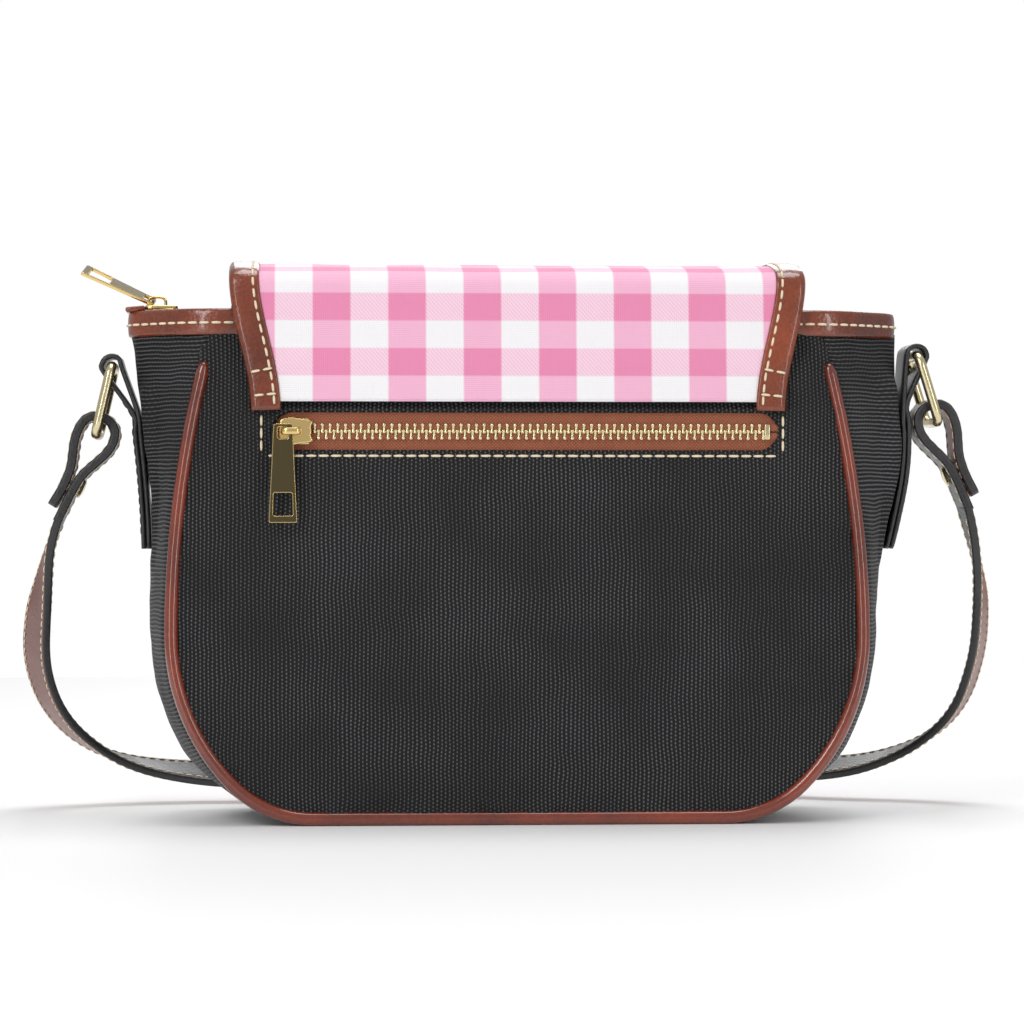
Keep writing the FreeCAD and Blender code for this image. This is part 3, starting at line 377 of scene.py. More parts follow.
MATERIALS = {
    "panel_cloth": ribbed_cloth("panel_cloth", 0, 1.3 * MM, 1.25 * MM, 0.62),
    "gusset_cloth": ribbed_cloth("gusset_cloth", 1, 1.35 * MM, 0.95 * MM, 0.2),
    "gingham": gingham(),
    "brown": leather("brown_leather", linear(82, 28, 10), linear(152, 68, 32), 0.28, coat=0.6),
    "piping": leather("piping_leather", linear(84, 24, 6), linear(142, 52, 17), 0.2, coat=1.0, depth=0.0001),
    "black": leather("black_leather", linear(14, 13, 14), linear(40, 39, 41), 0.36, coat=0.3),
    "strap_brown": leather("strap_leather_brown", linear(98, 58, 50), linear(134, 84, 72), 0.42, coat=0.15),
    "strap_black": leather("strap_leather_black", linear(20, 20, 22), linear(50, 49, 52), 0.42, coat=0.15),
    "gold": metal("pale_gold", linear(226, 212, 172), 0.16),
    "bright_gold": metal("bright_gold", linear(236, 206, 140), 0.16),
    "tape": woven("zip_tape", linear(128, 66, 42), linear(186, 112, 78), 1.1 * MM),
    "lining": woven("lining_cloth", linear(40, 36, 34), linear(74, 68, 62), 0.8 * MM),
    "flap_lining": woven("flap_lining", linear(14, 14, 15), linear(42, 42, 44), 0.9 * MM),
    "board": woven("fibreboard", linear(60, 52, 44), linear(84, 74, 64), 2.5 * MM),
    "cream": thread("cream_thread", linear(246, 228, 196)),
    "dark_thread": thread("dark_thread", linear(34, 33, 36)),
    # A darker copy of the gold, painted on the pullers' flat faces as their dark reflection.
    "dark_reflection_gold": metal("dark_reflection_gold", linear(104, 94, 66), 0.22),
}

# ---- mesh helpers ------------------------------------------------------------------------------


def new_object(name, verts, faces, material, smooth=True, uvs=None):
    mesh = bpy.data.meshes.new(name)
    mesh.from_pydata([tuple(v) for v in verts], [], faces)
    if uvs is not None:
        layer = mesh.uv_layers.new(name="cloth")
        for loop in mesh.loops:
            layer.data[loop.index].uv = uvs[loop.vertex_index]
    mesh.materials.append(MATERIALS[material])
    mesh.validate()
    mesh.polygons.foreach_set("use_smooth", [smooth] * len(mesh.polygons))
    return linked(name, mesh)


def linked(name, data):
    """A new object in the scene for a mesh, curve, light or camera."""
    item = bpy.data.objects.new(name, data)
    bpy.context.scene.collection.objects.link(item)
    return item


def fitted(item, body, slot, *nodes):
    """Set a finished piece on its body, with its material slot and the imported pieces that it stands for."""
    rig.ride(item, body)
    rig.slot(item, slot)
    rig.replaces(item, *nodes)


def grid_faces(rows, columns, wrap_rows=False, wrap_columns=False):
    faces = []
    for r in range(rows if wrap_rows else rows - 1):
        for c in range(columns if wrap_columns else columns - 1):
            a, b = r * columns + c, r * columns + (c + 1) % columns
            d = ((r + 1) % rows) * columns + c
            e = ((r + 1) % rows) * columns + (c + 1) % columns
            faces.append((a, b, e, d))
    return faces


def tube_faces(rows, count):
    """The walls and both end caps of a tube of rings."""
    faces = grid_faces(rows, count, False, True)
    faces.append(tuple(range(count))[::-1])
    faces.append(tuple((rows - 1) * count + k for k in range(count)))
    return faces


def headings(line, closed=False):
    """The unit direction along a line at each of its points."""
    last = len(line) - 1
    if closed:
        return [(line[(i + 1) % len(line)] - line[i - 1]).normalized() for i in range(len(line))]
    return [(line[min(i + 1, last)] - line[max(i - 1, 0)]).normalized() for i in range(len(line))]


def baked(item):
    """Turn an object's modifiers into its final mesh."""
    graph = bpy.context.evaluated_depsgraph_get()
    mesh = bpy.data.meshes.new_from_object(item.evaluated_get(graph))
    item.modifiers.clear()
    item.data = mesh
    return item


def cloth_sheet(name, grid, uv_grid, material, thickness, inward=None):
    """A sewn sheet: a grid of points given a thickness on its back."""
    rows, columns = len(grid), len(grid[0])
    verts = [point for row in grid for point in row]
    uvs = [uv for row in uv_grid for uv in row]
    item = new_object(name, verts, grid_faces(rows, columns), material, True, uvs)
    if inward is not None:
        middle = item.data.polygons[len(item.data.polygons) // 2]
        if middle.normal.dot(inward) > 0:
            item.data.flip_normals()
    solidify = item.modifiers.new("thickness", "SOLIDIFY")
    solidify.thickness = thickness
    solidify.offset = -1.0
    solidify.use_rim = True
    return baked(item)


def sweep(name, path, frames, section, material, closed=False):
    """A section of (side, up) points carried along a path; frames give each point's side and up."""
    verts = []
    travelled = 0.0
    for i, (point, (side, up)) in enumerate(zip(path, frames)):
        if i:
            travelled += (point - path[i - 1]).length
        profile = section(travelled) if callable(section) else section
        verts += [point + side * a + up * b for a, b in profile]
    count = len(profile)
    faces = grid_faces(len(path), count, True, True) if closed else tube_faces(len(path), count)
    item = new_object(name, verts, faces, material)
    fix_normals(item)
    return item


def fix_normals(item):
    work = bmesh.new()
    work.from_mesh(item.data)
    bmesh.ops.recalc_face_normals(work, faces=work.faces)
    work.to_mesh(item.data)
    work.free()


def smooth_line(points, per_run=8, closed=False):
    """A curve through every point."""
    count = len(points)
    out = []
    runs = count if closed else count - 1
    for i in range(runs):
        if closed:
            p = [points[(i + k) % count] for k in (-1, 0, 1, 2)]
        else:
            p = [points[max(i - 1, 0)], points[i], points[i + 1], points[min(i + 2, count - 1)]]
        for k in range(per_run):
            t = k / per_run
            out.append(0.5 * ((2 * p[1]) + (p[2] - p[0]) * t + (2 * p[0] - 5 * p[1] + 4 * p[2] - p[3]) * t * t
                              + (3 * p[1] - p[0] - 3 * p[2] + p[3]) * t ** 3))
    if not closed:
        out.append(points[-1].copy())
    return out


def even(points, step, closed=False):
    """The same line with its points a set distance apart."""
    line = points + [points[0]] if closed else points
    total = sum((b - a).length for a, b in zip(line, line[1:]))
    count = max(2, round(total / step))
    out, run, index = [], 0.0, 0
    for k in range(count + (0 if closed else 1)):
        goal = total * k / count
        while index < len(line) - 2 and run + (line[index + 1] - line[index]).length < goal:
            run += (line[index + 1] - line[index]).length
            index += 1
        piece = line[index + 1] - line[index]
        share = min(1.0, (goal - run) / max(piece.length, 1e-9))
        out.append(line[index] + piece * share)
    return out


def circle(radius, count=16):
    return [(radius * math.cos(2 * math.pi * k / count), radius * math.sin(2 * math.pi * k / count))
            for k in range(count)]


def stitches(name, seams, body, material="cream", long=3.1 * MM, pitch=3.8 * MM, wide=0.85 * MM):
    """Rows of thread stitches; each seam is a line of (point, outward normal) samples."""
    verts, faces = [], []
    ring = 6
    for seam in seams:
        points = [p for p, _ in seam]
        lengths = [0.0]
        for a, b in zip(points, points[1:]):
            lengths.append(lengths[-1] + (b - a).length)
        total = lengths[-1]
        count = max(1, int(total / pitch))
        spare = (total - count * pitch) / 2 + (pitch - long) / 2

        def spot(distance):
            distance = min(max(distance, 0.0), total)
            k = 0
            while k < len(lengths) - 2 and lengths[k + 1] < distance:
                k += 1
            span = max(lengths[k + 1] - lengths[k], 1e-9)
            share = (distance - lengths[k]) / span
            return points[k].lerp(points[k + 1], share), seam[k][1].lerp(seam[k + 1][1], share).normalized()

        for s in range(count):
            base = spare + s * pitch
            start = len(verts)
            for share, girth, lift in ((0.0, 0.35, -0.15), (0.14, 0.85, 0.18), (0.5, 1.0, 0.34),
                                       (0.86, 0.85, 0.18), (1.0, 0.35, -0.15)):
                centre, normal = spot(base + long * share)
                ahead = (spot(base + long)[0] - spot(base)[0]).normalized()
                side = normal.cross(ahead).normalized()
                centre = centre + normal * (lift * wide)
                for k in range(ring):
                    angle = 2 * math.pi * k / ring
                    verts.append(centre + side * (math.cos(angle) * wide / 2 * girth)
                                 + normal * (math.sin(angle) * wide * 0.4 * girth))
            faces += [tuple(start + v for v in face) for face in tube_faces(5, ring)]
    item = new_object(name, verts, faces, material)
    fix_normals(item)
    if body:
        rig.ride(item, body)
    return item


def plate_curve(name, outline, holes, thickness, bevel, material):
    """A flat metal plate with softened edges, from closed outlines in its own plane."""
    data = bpy.data.curves.new(name, "CURVE")
    data.dimensions = "2D"
    data.fill_mode = "BOTH"
    data.extrude = thickness / 2 - bevel
    data.bevel_depth = bevel
    data.bevel_resolution = 3
    data.offset = -bevel
    for loop in [outline] + holes:
        spline = data.splines.new("POLY")
        spline.points.add(len(loop) - 1)
        for point, (a, b) in zip(spline.points, loop):
            point.co = (a, b, 0, 1)
        spline.use_cyclic_u = True
    item = linked(name + "_curve", data)
    mesh = bpy.data.meshes.new_from_object(item.evaluated_get(bpy.context.evaluated_depsgraph_get()))
    bpy.data.objects.remove(item)
    mesh.materials.clear()
    mesh.materials.append(MATERIALS[material])
    mesh.polygons.foreach_set("use_smooth", [False] * len(mesh.polygons))
    return linked(name, mesh)


def rounded_loop(corners, radii, per_corner=6):
    """A closed 2D outline with rounded corners."""
    out = []
    count = len(corners)
    for i in range(count):
        here = Vector(corners[i])
        back = (Vector(corners[i - 1]) - here).normalized()
        ahead = (Vector(corners[(i + 1) % count]) - here).normalized()
        half = math.acos(max(-1.0, min(1.0, back.dot(ahead)))) / 2
        radius = radii[i]
        reach = radius / math.tan(half)
        start, stop = here + back * reach, here + ahead * reach
        centre = here + (back + ahead).normalized() * (radius / math.sin(half))
        a, b = start - centre, stop - centre
        angle = math.atan2(a.x * b.y - a.y * b.x, a.dot(b))
        for k in range(per_corner + 1):
            turn = angle * k / per_corner
            out.append((centre.x + a.x * math.cos(turn) - a.y * math.sin(turn),
                        centre.y + a.x * math.sin(turn) + a.y * math.cos(turn)))
    return out

# ---- the bag's own shape -----------------------------------------------------------------------

SIDE_CENTRE = Vector((113.52 - 366.0, 60.98)) * MM
HIGH_CENTRE = Vector((43.02, 60.98)) * MM
LOW_CENTRE = Vector((66.0, 38.0)) * MM
SIDE_R, HIGH_R, LOW_R = 366.0 * MM, 70.5 * MM, 38.0 * MM
RIM_LOW, RIM_TOP = 157.0 * MM, 165.5 * MM
KNEE_Z = 11.13 * MM


def half_depth(z):
    return 35.0 * MM - 13.0 * MM * z / RIM_TOP


def swell(x, z):
    across = max(0.0, 1 - (x / (112.0 * MM)) ** 2)
    return across * max(0.0, math.sin(math.pi * min(1.0, max(0.0, (z + 6 * MM) / (172.0 * MM)))))


def half_width(z, inset=0.0):
    """Half the panel's width at one height."""
    if z >= HIGH_CENTRE.y:
        return SIDE_CENTRE.x + math.sqrt((SIDE_R - inset) ** 2 - (z - SIDE_CENTRE.y) ** 2)
    if z >= KNEE_Z:
        return HIGH_CENTRE.x + math.sqrt(max(0.0, (HIGH_R - inset) ** 2 - (z - HIGH_CENTRE.y) ** 2))
    return LOW_CENTRE.x + math.sqrt(max(0.0, (LOW_R - inset) ** 2 - (LOW_CENTRE.y - z) ** 2))


def outline(inset, top, step=2.0 * MM):
    """Points (x, z) and outward normals up the right side, from the end of the flat bottom."""
    out = []
    for centre, radius, start, stop in ((LOW_CENTRE, LOW_R - inset, -90.0, -45.0),
                                        (HIGH_CENTRE, HIGH_R - inset, -45.0, 0.0),
                                        (SIDE_CENTRE, SIDE_R - inset, 0.0, None)):
        if stop is None:
            stop = math.degrees(math.asin((top - centre.y) / radius))
        count = max(2, int(math.radians(stop - start) * radius / step))
        for k in range(count + (1 if centre is SIDE_CENTRE else 0)):
            angle = math.radians(start + (stop - start) * k / count)
            normal = Vector((math.cos(angle), math.sin(angle)))
            out.append((centre + normal * radius, normal))
    return out


def soft(scale, x, y, z=0.0):
    return noise.noise(Vector((x / scale, y / scale, z)))


POCKET_Z = 125.8 * MM
POCKET_LOW, POCKET_HIGH = 119.8 * MM, 132.0 * MM
POCKET_LEFT, POCKET_RIGHT = -78.6 * MM, 83.6 * MM


def slot_distance(x, z):
    """Distance outside the pocket's round-ended slot; negative inside it."""
    radius = (POCKET_HIGH - POCKET_LOW) / 2
    middle = (POCKET_HIGH + POCKET_LOW) / 2
    along = min(max(x, POCKET_LEFT + radius), POCKET_RIGHT - radius)
    return math.hypot(x - along, z - middle) - radius


def smoothstep(low, high, value):
    t = min(1.0, max(0.0, (value - low) / (high - low)))
    return t * t * (3 - 2 * t)


def panel_depth(x, z, back):
    """How far the panel stands out at one place: filled, softly waved, puckered by its piping."""
    base = half_depth(z) + 6.6 * MM * swell(x, z)
    edge = max(0.0, half_width(max(z, 2.3 * MM), 2.2 * MM) - abs(x))
    edge = min(edge, max(0.0, z - 2.2 * MM))
    pucker = math.exp(-edge / (7.0 * MM)) * soft(5.5 * MM, x + z * 0.4, z - x * 0.3, 2.0) * 0.9 * MM
    wave = (soft(34.0 * MM, x, z * 0.45, 5.0) * 1.3 + soft(15.0 * MM, x, z * 0.5, 9.0) * 0.45) * MM
    wave *= smoothstep(0.0, 14.0 * MM, edge)
    if not back:
        return base + wave + pucker
    away = slot_distance(x, z)
    flat = 29.35 * MM
    share = 1 - smoothstep(3.0 * MM, 26.0 * MM, away)
    depth = base * (1 - share) + flat * share + wave * (1 - share) + pucker
    if z > POCKET_HIGH:
        limit = 28.5 * MM - (z - POCKET_HIGH) * 0.05
        depth = min(depth, limit + smoothstep(POCKET_HIGH + 2.5 * MM, POCKET_HIGH, z) * 1.2 * MM)
    lip = math.exp(-((away - 0.9 * MM) / (1.1 * MM)) ** 2) * 0.75 * MM
    sink = 1 - smoothstep(-0.6 * MM, 0.3 * MM, away)
    return (depth + lip) * (1 - sink) + 26.6 * MM * sink


def panel(name, back):
    """One fabric panel, from piping to piping and up under the rim."""
    sense = -1 if back else 1
    inset = 2.3 * MM
    levels = [p.y for p, _ in outline(inset, 159.0 * MM, 1.6 * MM if back else 3.0 * MM)]
    if back:
        fine = [POCKET_LOW - 4 * MM + k * 0.55 * MM for k in range(38)]
        levels = sorted([z for z in levels if z < fine[0] - 0.4 * MM or z > fine[-1] + 0.4 * MM] + fine)
    columns = 261 if back else 121
    grid, uvs = [], []
    for z in levels:
        meet = smoothstep(143.0 * MM, 150.0 * MM, z)
        wide = half_width(z, inset * (1 - meet) - 0.3 * MM * meet)
        row, uv = [], []
        for c in range(columns):
            share = -1 + 2 * c / (columns - 1)
            x = wide * share
            tuck = 1.4 * MM * meet * smoothstep(0.965, 1.0, abs(share))
            row.append(Vector((x, sense * (panel_depth(x, z, back) - tuck), z)))
            uv.append((x, z))
        grid.append(row)
        uvs.append(uv)
    item = cloth_sheet(name, grid, uvs, "panel_cloth", 0.9 * MM, Vector((0, -sense, 0)))
    fitted(item, "bag_body", "black_fabric", name.replace("_fabric", ""))


def fullness(side, z):
    """How far the side wall's ridge bulges past the seam."""
    z = z / MM
    share = min(1.0, max(0.0, z / 26.0))
    low = 5.5 * share * share * (3 - 2 * share)
    high = 19.0 * max(0.0, (z - 84.0) / 73.0) ** 1.6
    extra = 7.0 * math.exp(-((z - 115.0) / 32.0) ** 2) if side > 0 else 0.0
    return (low + high + extra) * MM


def ridge_x(side, z):
    return side * (half_width(z) + fullness(side, z))


def gusset():
    """The side walls and bottom: one long strip round the bag, from rim to rim."""
    up = outline(0.0, 158.6 * MM, 1.7 * MM)
    length = [0.0]
    for (a, _), (b, _) in zip(up, up[1:]):
        length.append(length[-1] + (b - a).length)
    flat = 66.0 * MM
    stations = [(-1, p, n, -flat - s) for (p, n), s in zip(up, length)][::-1]
    stations += [(0, Vector((x * MM, 0.0)), Vector((0, -1)), x * MM) for x in range(-63, 64, 3)]
    stations += [(1, p, n, flat + s) for (p, n), s in zip(up, length)]
    columns = 41
    grid, uvs = [], []
    for side, point, normal, run in stations:
        z = point.y
        deep = half_depth(z) - 0.6 * MM
        share = smoothstep(0.0, 165.0 * MM, z)
        power = 2.0 - 0.75 * share
        blunt = 0.28
        top = (1 + blunt ** 2) ** (power / 2) - blunt ** power
        bulge = fullness(side, z) if side else 0.0
        out = Vector((1.0, 0.0)) if z > HIGH_CENTRE.y else normal
        sewn = (140.0 if side < 0 else 144.0) * MM
        held = smoothstep(80 * MM, 87 * MM, z) * (1 - smoothstep(sewn - 6 * MM, sewn + 4 * MM, z)) if side else 0.0
        row, uv = [], []
        for c in range(columns):
            u = -1 + 2 * c / (columns - 1)
            near = u * (1 - 0.9 * held * smoothstep(13.5 * MM, 8.5 * MM, abs(u) * deep))
            rise = 1 - ((near * near + blunt ** 2) ** (power / 2) - blunt ** power) / top
            tuck = 1.1 * MM * max(0.0, (abs(u) - 0.93) / 0.07) if z > 1 * MM else 0.0
            flutter = 0.0
            if side:
                flutter = (soft(17 * MM, run, u * deep, 3.0) * 0.9 + soft(6 * MM, run, u * deep, 7.0) * 0.25) * MM
                flutter *= (1 - abs(u) ** 4) * smoothstep(12 * MM, 40 * MM, z)
            place = point + out * (bulge * rise - tuck + flutter)
            row.append(Vector((place.x * (side or 1), u * deep, max(place.y, 0.05 * MM))))
            uv.append((u * deep, run))
        grid.append(row)
        uvs.append(uv)
    item = cloth_sheet("gusset_fabric", grid, uvs, "gusset_cloth", 0.9 * MM, Vector((0, 0, 1)))
    fitted(item, "bag_body", "black_fabric", "gusset_left", "gusset_right", "bottom_panel")


def piping(name, sense):
    """A leather-covered cord along the panel's seam, its ends tucked in under the rim."""
    up = outline(2.2 * MM, 148.0 * MM, 2.2 * MM)
    right = [Vector((p.x, 0, p.y)) for p, _ in up]
    line = [Vector((-p.x, 0, p.z)) for p in reversed(right)]
    line += [Vector((x * MM, 0, 2.2 * MM)) for x in range(-62, 63, 4)] + right
    line = even([Vector((p.x, sense * half_depth(p.z), p.z + 0.02 * MM)) for p in line], 1.6 * MM)
    frames = []
    for ahead in headings(line):
        side = ahead.cross(Y).normalized()
        frames.append((side, ahead.cross(side).normalized()))
    total = len(line) - 1

    def section(travelled):
        place = travelled / (total * 1.6 * MM)
        end = min(place, 1 - place) * total * 1.6
        girth = 0.62 + 0.38 * smoothstep(0.0, 3.4, end)
        swing = 1 + 0.022 * noise.noise(Vector((travelled / (6 * MM), sense * 4.0, 0)))
        return [(a * girth * swing, b * girth * swing) for a, b in circle(2.17 * MM, 18)]

    item = sweep(name + "_leather", line, frames, section, "piping")
    fitted(item, "bag_body", "piping_leather", name)


def rim_loop(inset, step=1.6 * MM):
    """The mouth's outline from above, as evenly spaced points."""
    half = 23.2 * MM - inset
    blunt = 9.0 * MM - inset
    centre = 117.0 * MM
    lean = math.radians(42)
    corner = centre + (blunt - half * math.cos(lean)) / math.sin(lean)
    tip = centre + blunt / math.sin(lean)
    points = [(corner, half), (tip, 0), (corner, -half), (-corner, -half), (-tip, 0), (-corner, half)]
    loop = rounded_loop(points, [25 * MM, blunt, 25 * MM] * 2, 10)
    return even([Vector((a, b, 0)) for a, b in loop], step, True)


def rim():
    """The polished leather band round the mouth, folded over the edge and stitched through."""
    loop = rim_loop(0.0)
    frames = []
    for point, ahead in zip(loop, headings(loop, True)):
        out = ahead.cross(Z).normalized()
        if out.dot(Vector((point.x, point.y * 4, 0))) < 0:
            out = -out
        frames.append((out, Z))
    shape = [(-3.5, 157.6), (-3.2, 157.05), (-1.8, 157.0), (-0.5, 157.02), (0.05, 157.25), (0.2, 157.9),
             (0.34, 159.4), (0.42, 161.0), (0.34, 163.0), (0.16, 164.4), (-0.15, 165.1), (-0.8, 165.5),
             (-1.8, 165.62), (-2.8, 165.5), (-3.35, 165.1), (-3.55, 164.3), (-3.6, 161.0)]
    path = []
    for i, point in enumerate(loop):
        sway = 0.12 * MM * noise.noise(Vector((point.x / (14 * MM), point.y / (14 * MM), 4.0)))
        path.append(point + frames[i][0] * sway + Z * sway * 0.8)
    section = [(a * MM, b * MM) for a, b in shape]
    item = sweep("rim_leather", path, frames, section, "brown", closed=True)
    fitted(item, "bag_body", "brown_leather", "rim_binding")
    seam = [(p + f[0] * 0.42 * MM + Z * 160.9 * MM, f[0]) for p, f in zip(path, frames)]
    inner = [(p - f[0] * 3.6 * MM + Z * 160.9 * MM, -f[0]) for p, f in zip(path, frames)]
    stitches("rim_stitches", [seam + [seam[0]], inner + [inner[0]]], "bag_body", long=3.3 * MM, pitch=4.0 * MM)


# ---- the flap ----------------------------------------------------------------------------------

FLAP_CORNER = 46.0 * MM
FLAP_LOW, FLAP_HALF_LOW, FLAP_HALF_TOP = 34.0 * MM, 112.0 * MM, 93.0 * MM
BINDING = 9.6 * MM
SPINE = [(-30.6, 132.4), (-29.8, 141.5), (-28.7, 155.0), (-27.8, 166.0), (-27.4, 171.6), (-26.2, 175.0),
         (-22.5, 177.2), (-12.0, 179.3), (0.0, 180.6), (12.0, 180.8), (21.0, 178.6), (26.2, 174.8), (28.6, 170.0)]


def spine():
    """The flap's middle line in the YZ plane, from its sewn edge over both folds."""
    return even(smooth_line([Vector((0, y * MM, z * MM)) for y, z in SPINE], 10), 1.5 * MM)


def front_depth(x, z):
    wave = (soft(40 * MM, x, z, 11.0) * 0.9 + soft(18 * MM, x, z, 13.0) * 0.3) * MM
    fade = smoothstep(170 * MM, 150 * MM, z)
    return half_depth(z) + 6.9 * MM + 5.4 * MM * swell(x, z) + wave * fade


def top_width(point):
    """Half the flap's width along its spine."""
    if point.y < -24 * MM:
        return (86.0 + 7.0 * smoothstep(132.0, 176.0, point.z / MM)) * MM
    return FLAP_HALF_TOP


def front_width(z):
    """Half the flap's width down its front: it flares from the fold, then rounds off."""
    if z < FLAP_LOW + FLAP_CORNER:
        drop = FLAP_LOW + FLAP_CORNER - z
        return FLAP_HALF_LOW - FLAP_CORNER + math.sqrt(max(0.0, FLAP_CORNER ** 2 - drop ** 2))
    top = 170.0 * MM
    flare = FLAP_HALF_TOP + 8.5 * MM * smoothstep(top, top - 15 * MM, z)
    return flare + (FLAP_HALF_LOW - FLAP_HALF_TOP - 8.5 * MM) * smoothstep(156 * MM, 78 * MM, z)


def front_levels():
    levels = [170.0 * MM - k * 1.8 * MM for k in range(1, 51)]
    levels = [z for z in levels if z > FLAP_LOW + FLAP_CORNER]
    for k in range(1, 33):
        angle = math.pi / 2 * k / 32
        levels.append(FLAP_LOW + FLAP_CORNER * (1 - math.sin(angle)))
    return levels


def flap_rows():
    """Every cross row of the flap: its run from the sewn edge, half width and a point for each x."""
    rows = []
    run = 132.2 * MM
    line = spine()
    for i, point in enumerate(line):
        if i:
            run += (point - line[i - 1]).length
        rows.append((run, top_width(point), lambda x, p=point: Vector((x, p.y + ripple(x, p), p.z + sag(x, p)))))
    before = line[-1]
    for z in front_levels():
        here = Vector((0, front_depth(0, z), z))
        run += (here - before).length
        before = here
        rows.append((run, front_width(z), lambda x, z=z: Vector((x, front_depth(x, z), z))))
    return rows


def ripple(x, point):
    """The sewn end's slight unevenness, and its faint fold line a little above the zip."""
    fade = smoothstep(30 * MM, 15 * MM, abs(point.y)) if point.y > 0 else 1.0
    fold = 0.35 * MM * math.exp(-((point.z - 144 * MM) / (1.6 * MM)) ** 2) if point.y < -25 * MM else 0.0
    join = smoothstep(26 * MM, 28.6 * MM, point.y) * (front_depth(x, 170 * MM) - front_depth(0, 170 * MM))
    return (soft(26 * MM, x, point.z, 21.0) * 0.35 * MM + fold) * fade + join


def sag(x, point):
    if point.y < -24 * MM:
        return 0.0
    return soft(30 * MM, x, point.y, 23.0) * 0.4 * MM


def flap_patch(name, rows, inset, lift, thickness, material, columns=97):
    grid, uvs = [], []
    for k, (run, wide, place) in enumerate(rows):
        reach = max(2 * MM, wide - inset)
        row, uv = [], []
        for c in range(columns):
            x = reach * (-1 + 2 * c / (columns - 1))
            row.append(place(x) + lift(k, x))
            uv.append((x, run))
        grid.append(row)
        uvs.append(uv)
    return cloth_sheet(name, grid, uvs, material, thickness)


def row_normals(rows):
    """The flap's outward direction at each row."""
    out = []
    for k in range(len(rows)):
        a = rows[max(k - 1, 0)][2](0.0)
        b = rows[min(k + 1, len(rows) - 1)][2](0.0)
        ahead = (b - a).normalized()
        out.append(X.cross(ahead).normalized())
    return out


def flap():
    """The checked flap in two bending pieces that meet over the mouth, with lining, edge and stitches."""
    rows = flap_rows()
    normals = row_normals(rows)
    middle = min(range(len(rows)), key=lambda k: abs(rows[k][2](0.0).y) + (0 if rows[k][2](0.0).z > 0.17 else 1))
    floor_row = FLAP_LOW + BINDING - 2.5 * MM
    halves = (("flap_back", rows[:middle + 1], normals[:middle + 1], "bag_body", "flap_top",
               (0, -28.5 * MM, 171 * MM), (0, -17 * MM, 182.5 * MM)),
              ("flap_front", rows[middle:], normals[middle:], "flap_top", "flap_front",
               (0, 18 * MM, 181 * MM), (0, 30 * MM, 169 * MM)))
    for name, part, outward, first, second, start, stop in halves:
        keep = [k for k, row in enumerate(part)
                if row[2](0.0).z >= (floor_row if name == "flap_front" else 134.4 * MM)]
        inner = [part[k] for k in keep]
        facing = [outward[k] for k in keep]
        cloth = flap_patch(name + "_gingham", inner, BINDING - 2.2 * MM,
                           lambda k, x: facing[k] * 0.55 * MM, 0.5 * MM, "gingham")
        lining = flap_patch(name + "_lining", inner, BINDING - 2.2 * MM,
                            lambda k, x: facing[k] * -0.15 * MM, 0.5 * MM, "flap_lining")
        edge, seams = flap_edge(name, part, outward)
        thread_rows = stitches(name + "_stitches", seams, None, long=3.0 * MM, pitch=3.9 * MM)
        nodes = {"flap_back": ("flap_anchor_cloth",), "flap_front": ("flap_front_cloth", "flap_top_cloth")}[name]
        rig.replaces(cloth, *nodes)
        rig.slot(cloth, "gingham")
        lined = {"flap_back": ("flap_top_lining",), "flap_front": ("flap_front_lining",)}[name]
        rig.replaces(lining, *lined)
        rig.slot(lining, "lining_cloth")
        bound = {"flap_back": ("flap_anchor_binding_left", "flap_anchor_binding_right", "flap_top_binding_left",
                               "flap_top_binding_right"), "flap_front": ("flap_front_binding",)}[name]
        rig.replaces(edge, *bound)
        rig.slot(edge, "brown_leather")
        for item in (cloth, lining, edge, thread_rows):
            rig.blend(item, first, second, start=start, end=stop)


def flap_edge(name, rows, normals):
    """The leather binding: a folded strip along the flap's edge, and the line of stitches near its inside."""
    right = [place(wide) for _, wide, place in rows]
    outward = list(normals)
    if name == "flap_front":
        low = rows[-1]
        reach = low[1]
        steps = [reach * (1 - k / 26) for k in range(1, 27)]
        right += [low[2](x) for x in steps]
        outward += [normals[-1]] * len(steps)
        line = right + [Vector((-p.x, p.y, p.z)) for p in reversed(right[:-1])]
        outs = outward + outward[-2::-1]
        lines = [(line, outs)]
    else:
        lines = [(right, outward), ([Vector((-p.x, p.y, p.z)) for p in right], outward)]
    section = [(9.6, 0.5), (9.5, 1.15), (8.8, 1.35), (7.6, 1.25), (5.0, 1.55), (2.0, 1.45), (0.6, 1.1), (0.0, 0.0),
               (0.6, -0.9), (2.0, -1.2), (5.0, -1.3), (8.8, -1.2), (9.6, -0.65)]
    section = [(a * MM, b * MM) for a, b in section]
    pieces, seams = [], []
    for number, (line, outs) in enumerate(lines):
        frames = []
        for point, ahead, out in zip(line, headings(line), outs):
            inward = out.cross(ahead).normalized()
            centre = Vector((0, point.y, max(point.z, 80 * MM)))
            if inward.dot(centre - point) < 0:
                inward = -inward
            frames.append((inward, (out - ahead * out.dot(ahead)).normalized()))
        pieces.append(sweep(f"{name}_edge_{number}", line, frames, section, "brown"))
        seams.append([(p + f[0] * 7.6 * MM + f[1] * 1.26 * MM, f[1]) for p, f in zip(line, frames)])
        if name == "flap_back":
            for height in (144.0, 136.8):
                k = min(range(len(line)), key=lambda i: abs(line[i].z - height * MM) + max(0, line[i].y) * 9)
                here = line[k] + frames[k][1] * 1.62 * MM
                seams.append([(here + frames[k][0] * a * MM, frames[k][1]) for a in (0.9, 3.0, 6.0, 8.9)])
    return joined(name + "_binding", pieces), seams


def joined(name, pieces):
    bpy.ops.object.select_all(action="DESELECT")
    for piece in pieces:
        piece.select_set(True)
    bpy.context.view_layer.objects.active = pieces[0]
    if len(pieces) > 1:
        bpy.ops.object.join()
    pieces[0].name = name
    return pieces[0]


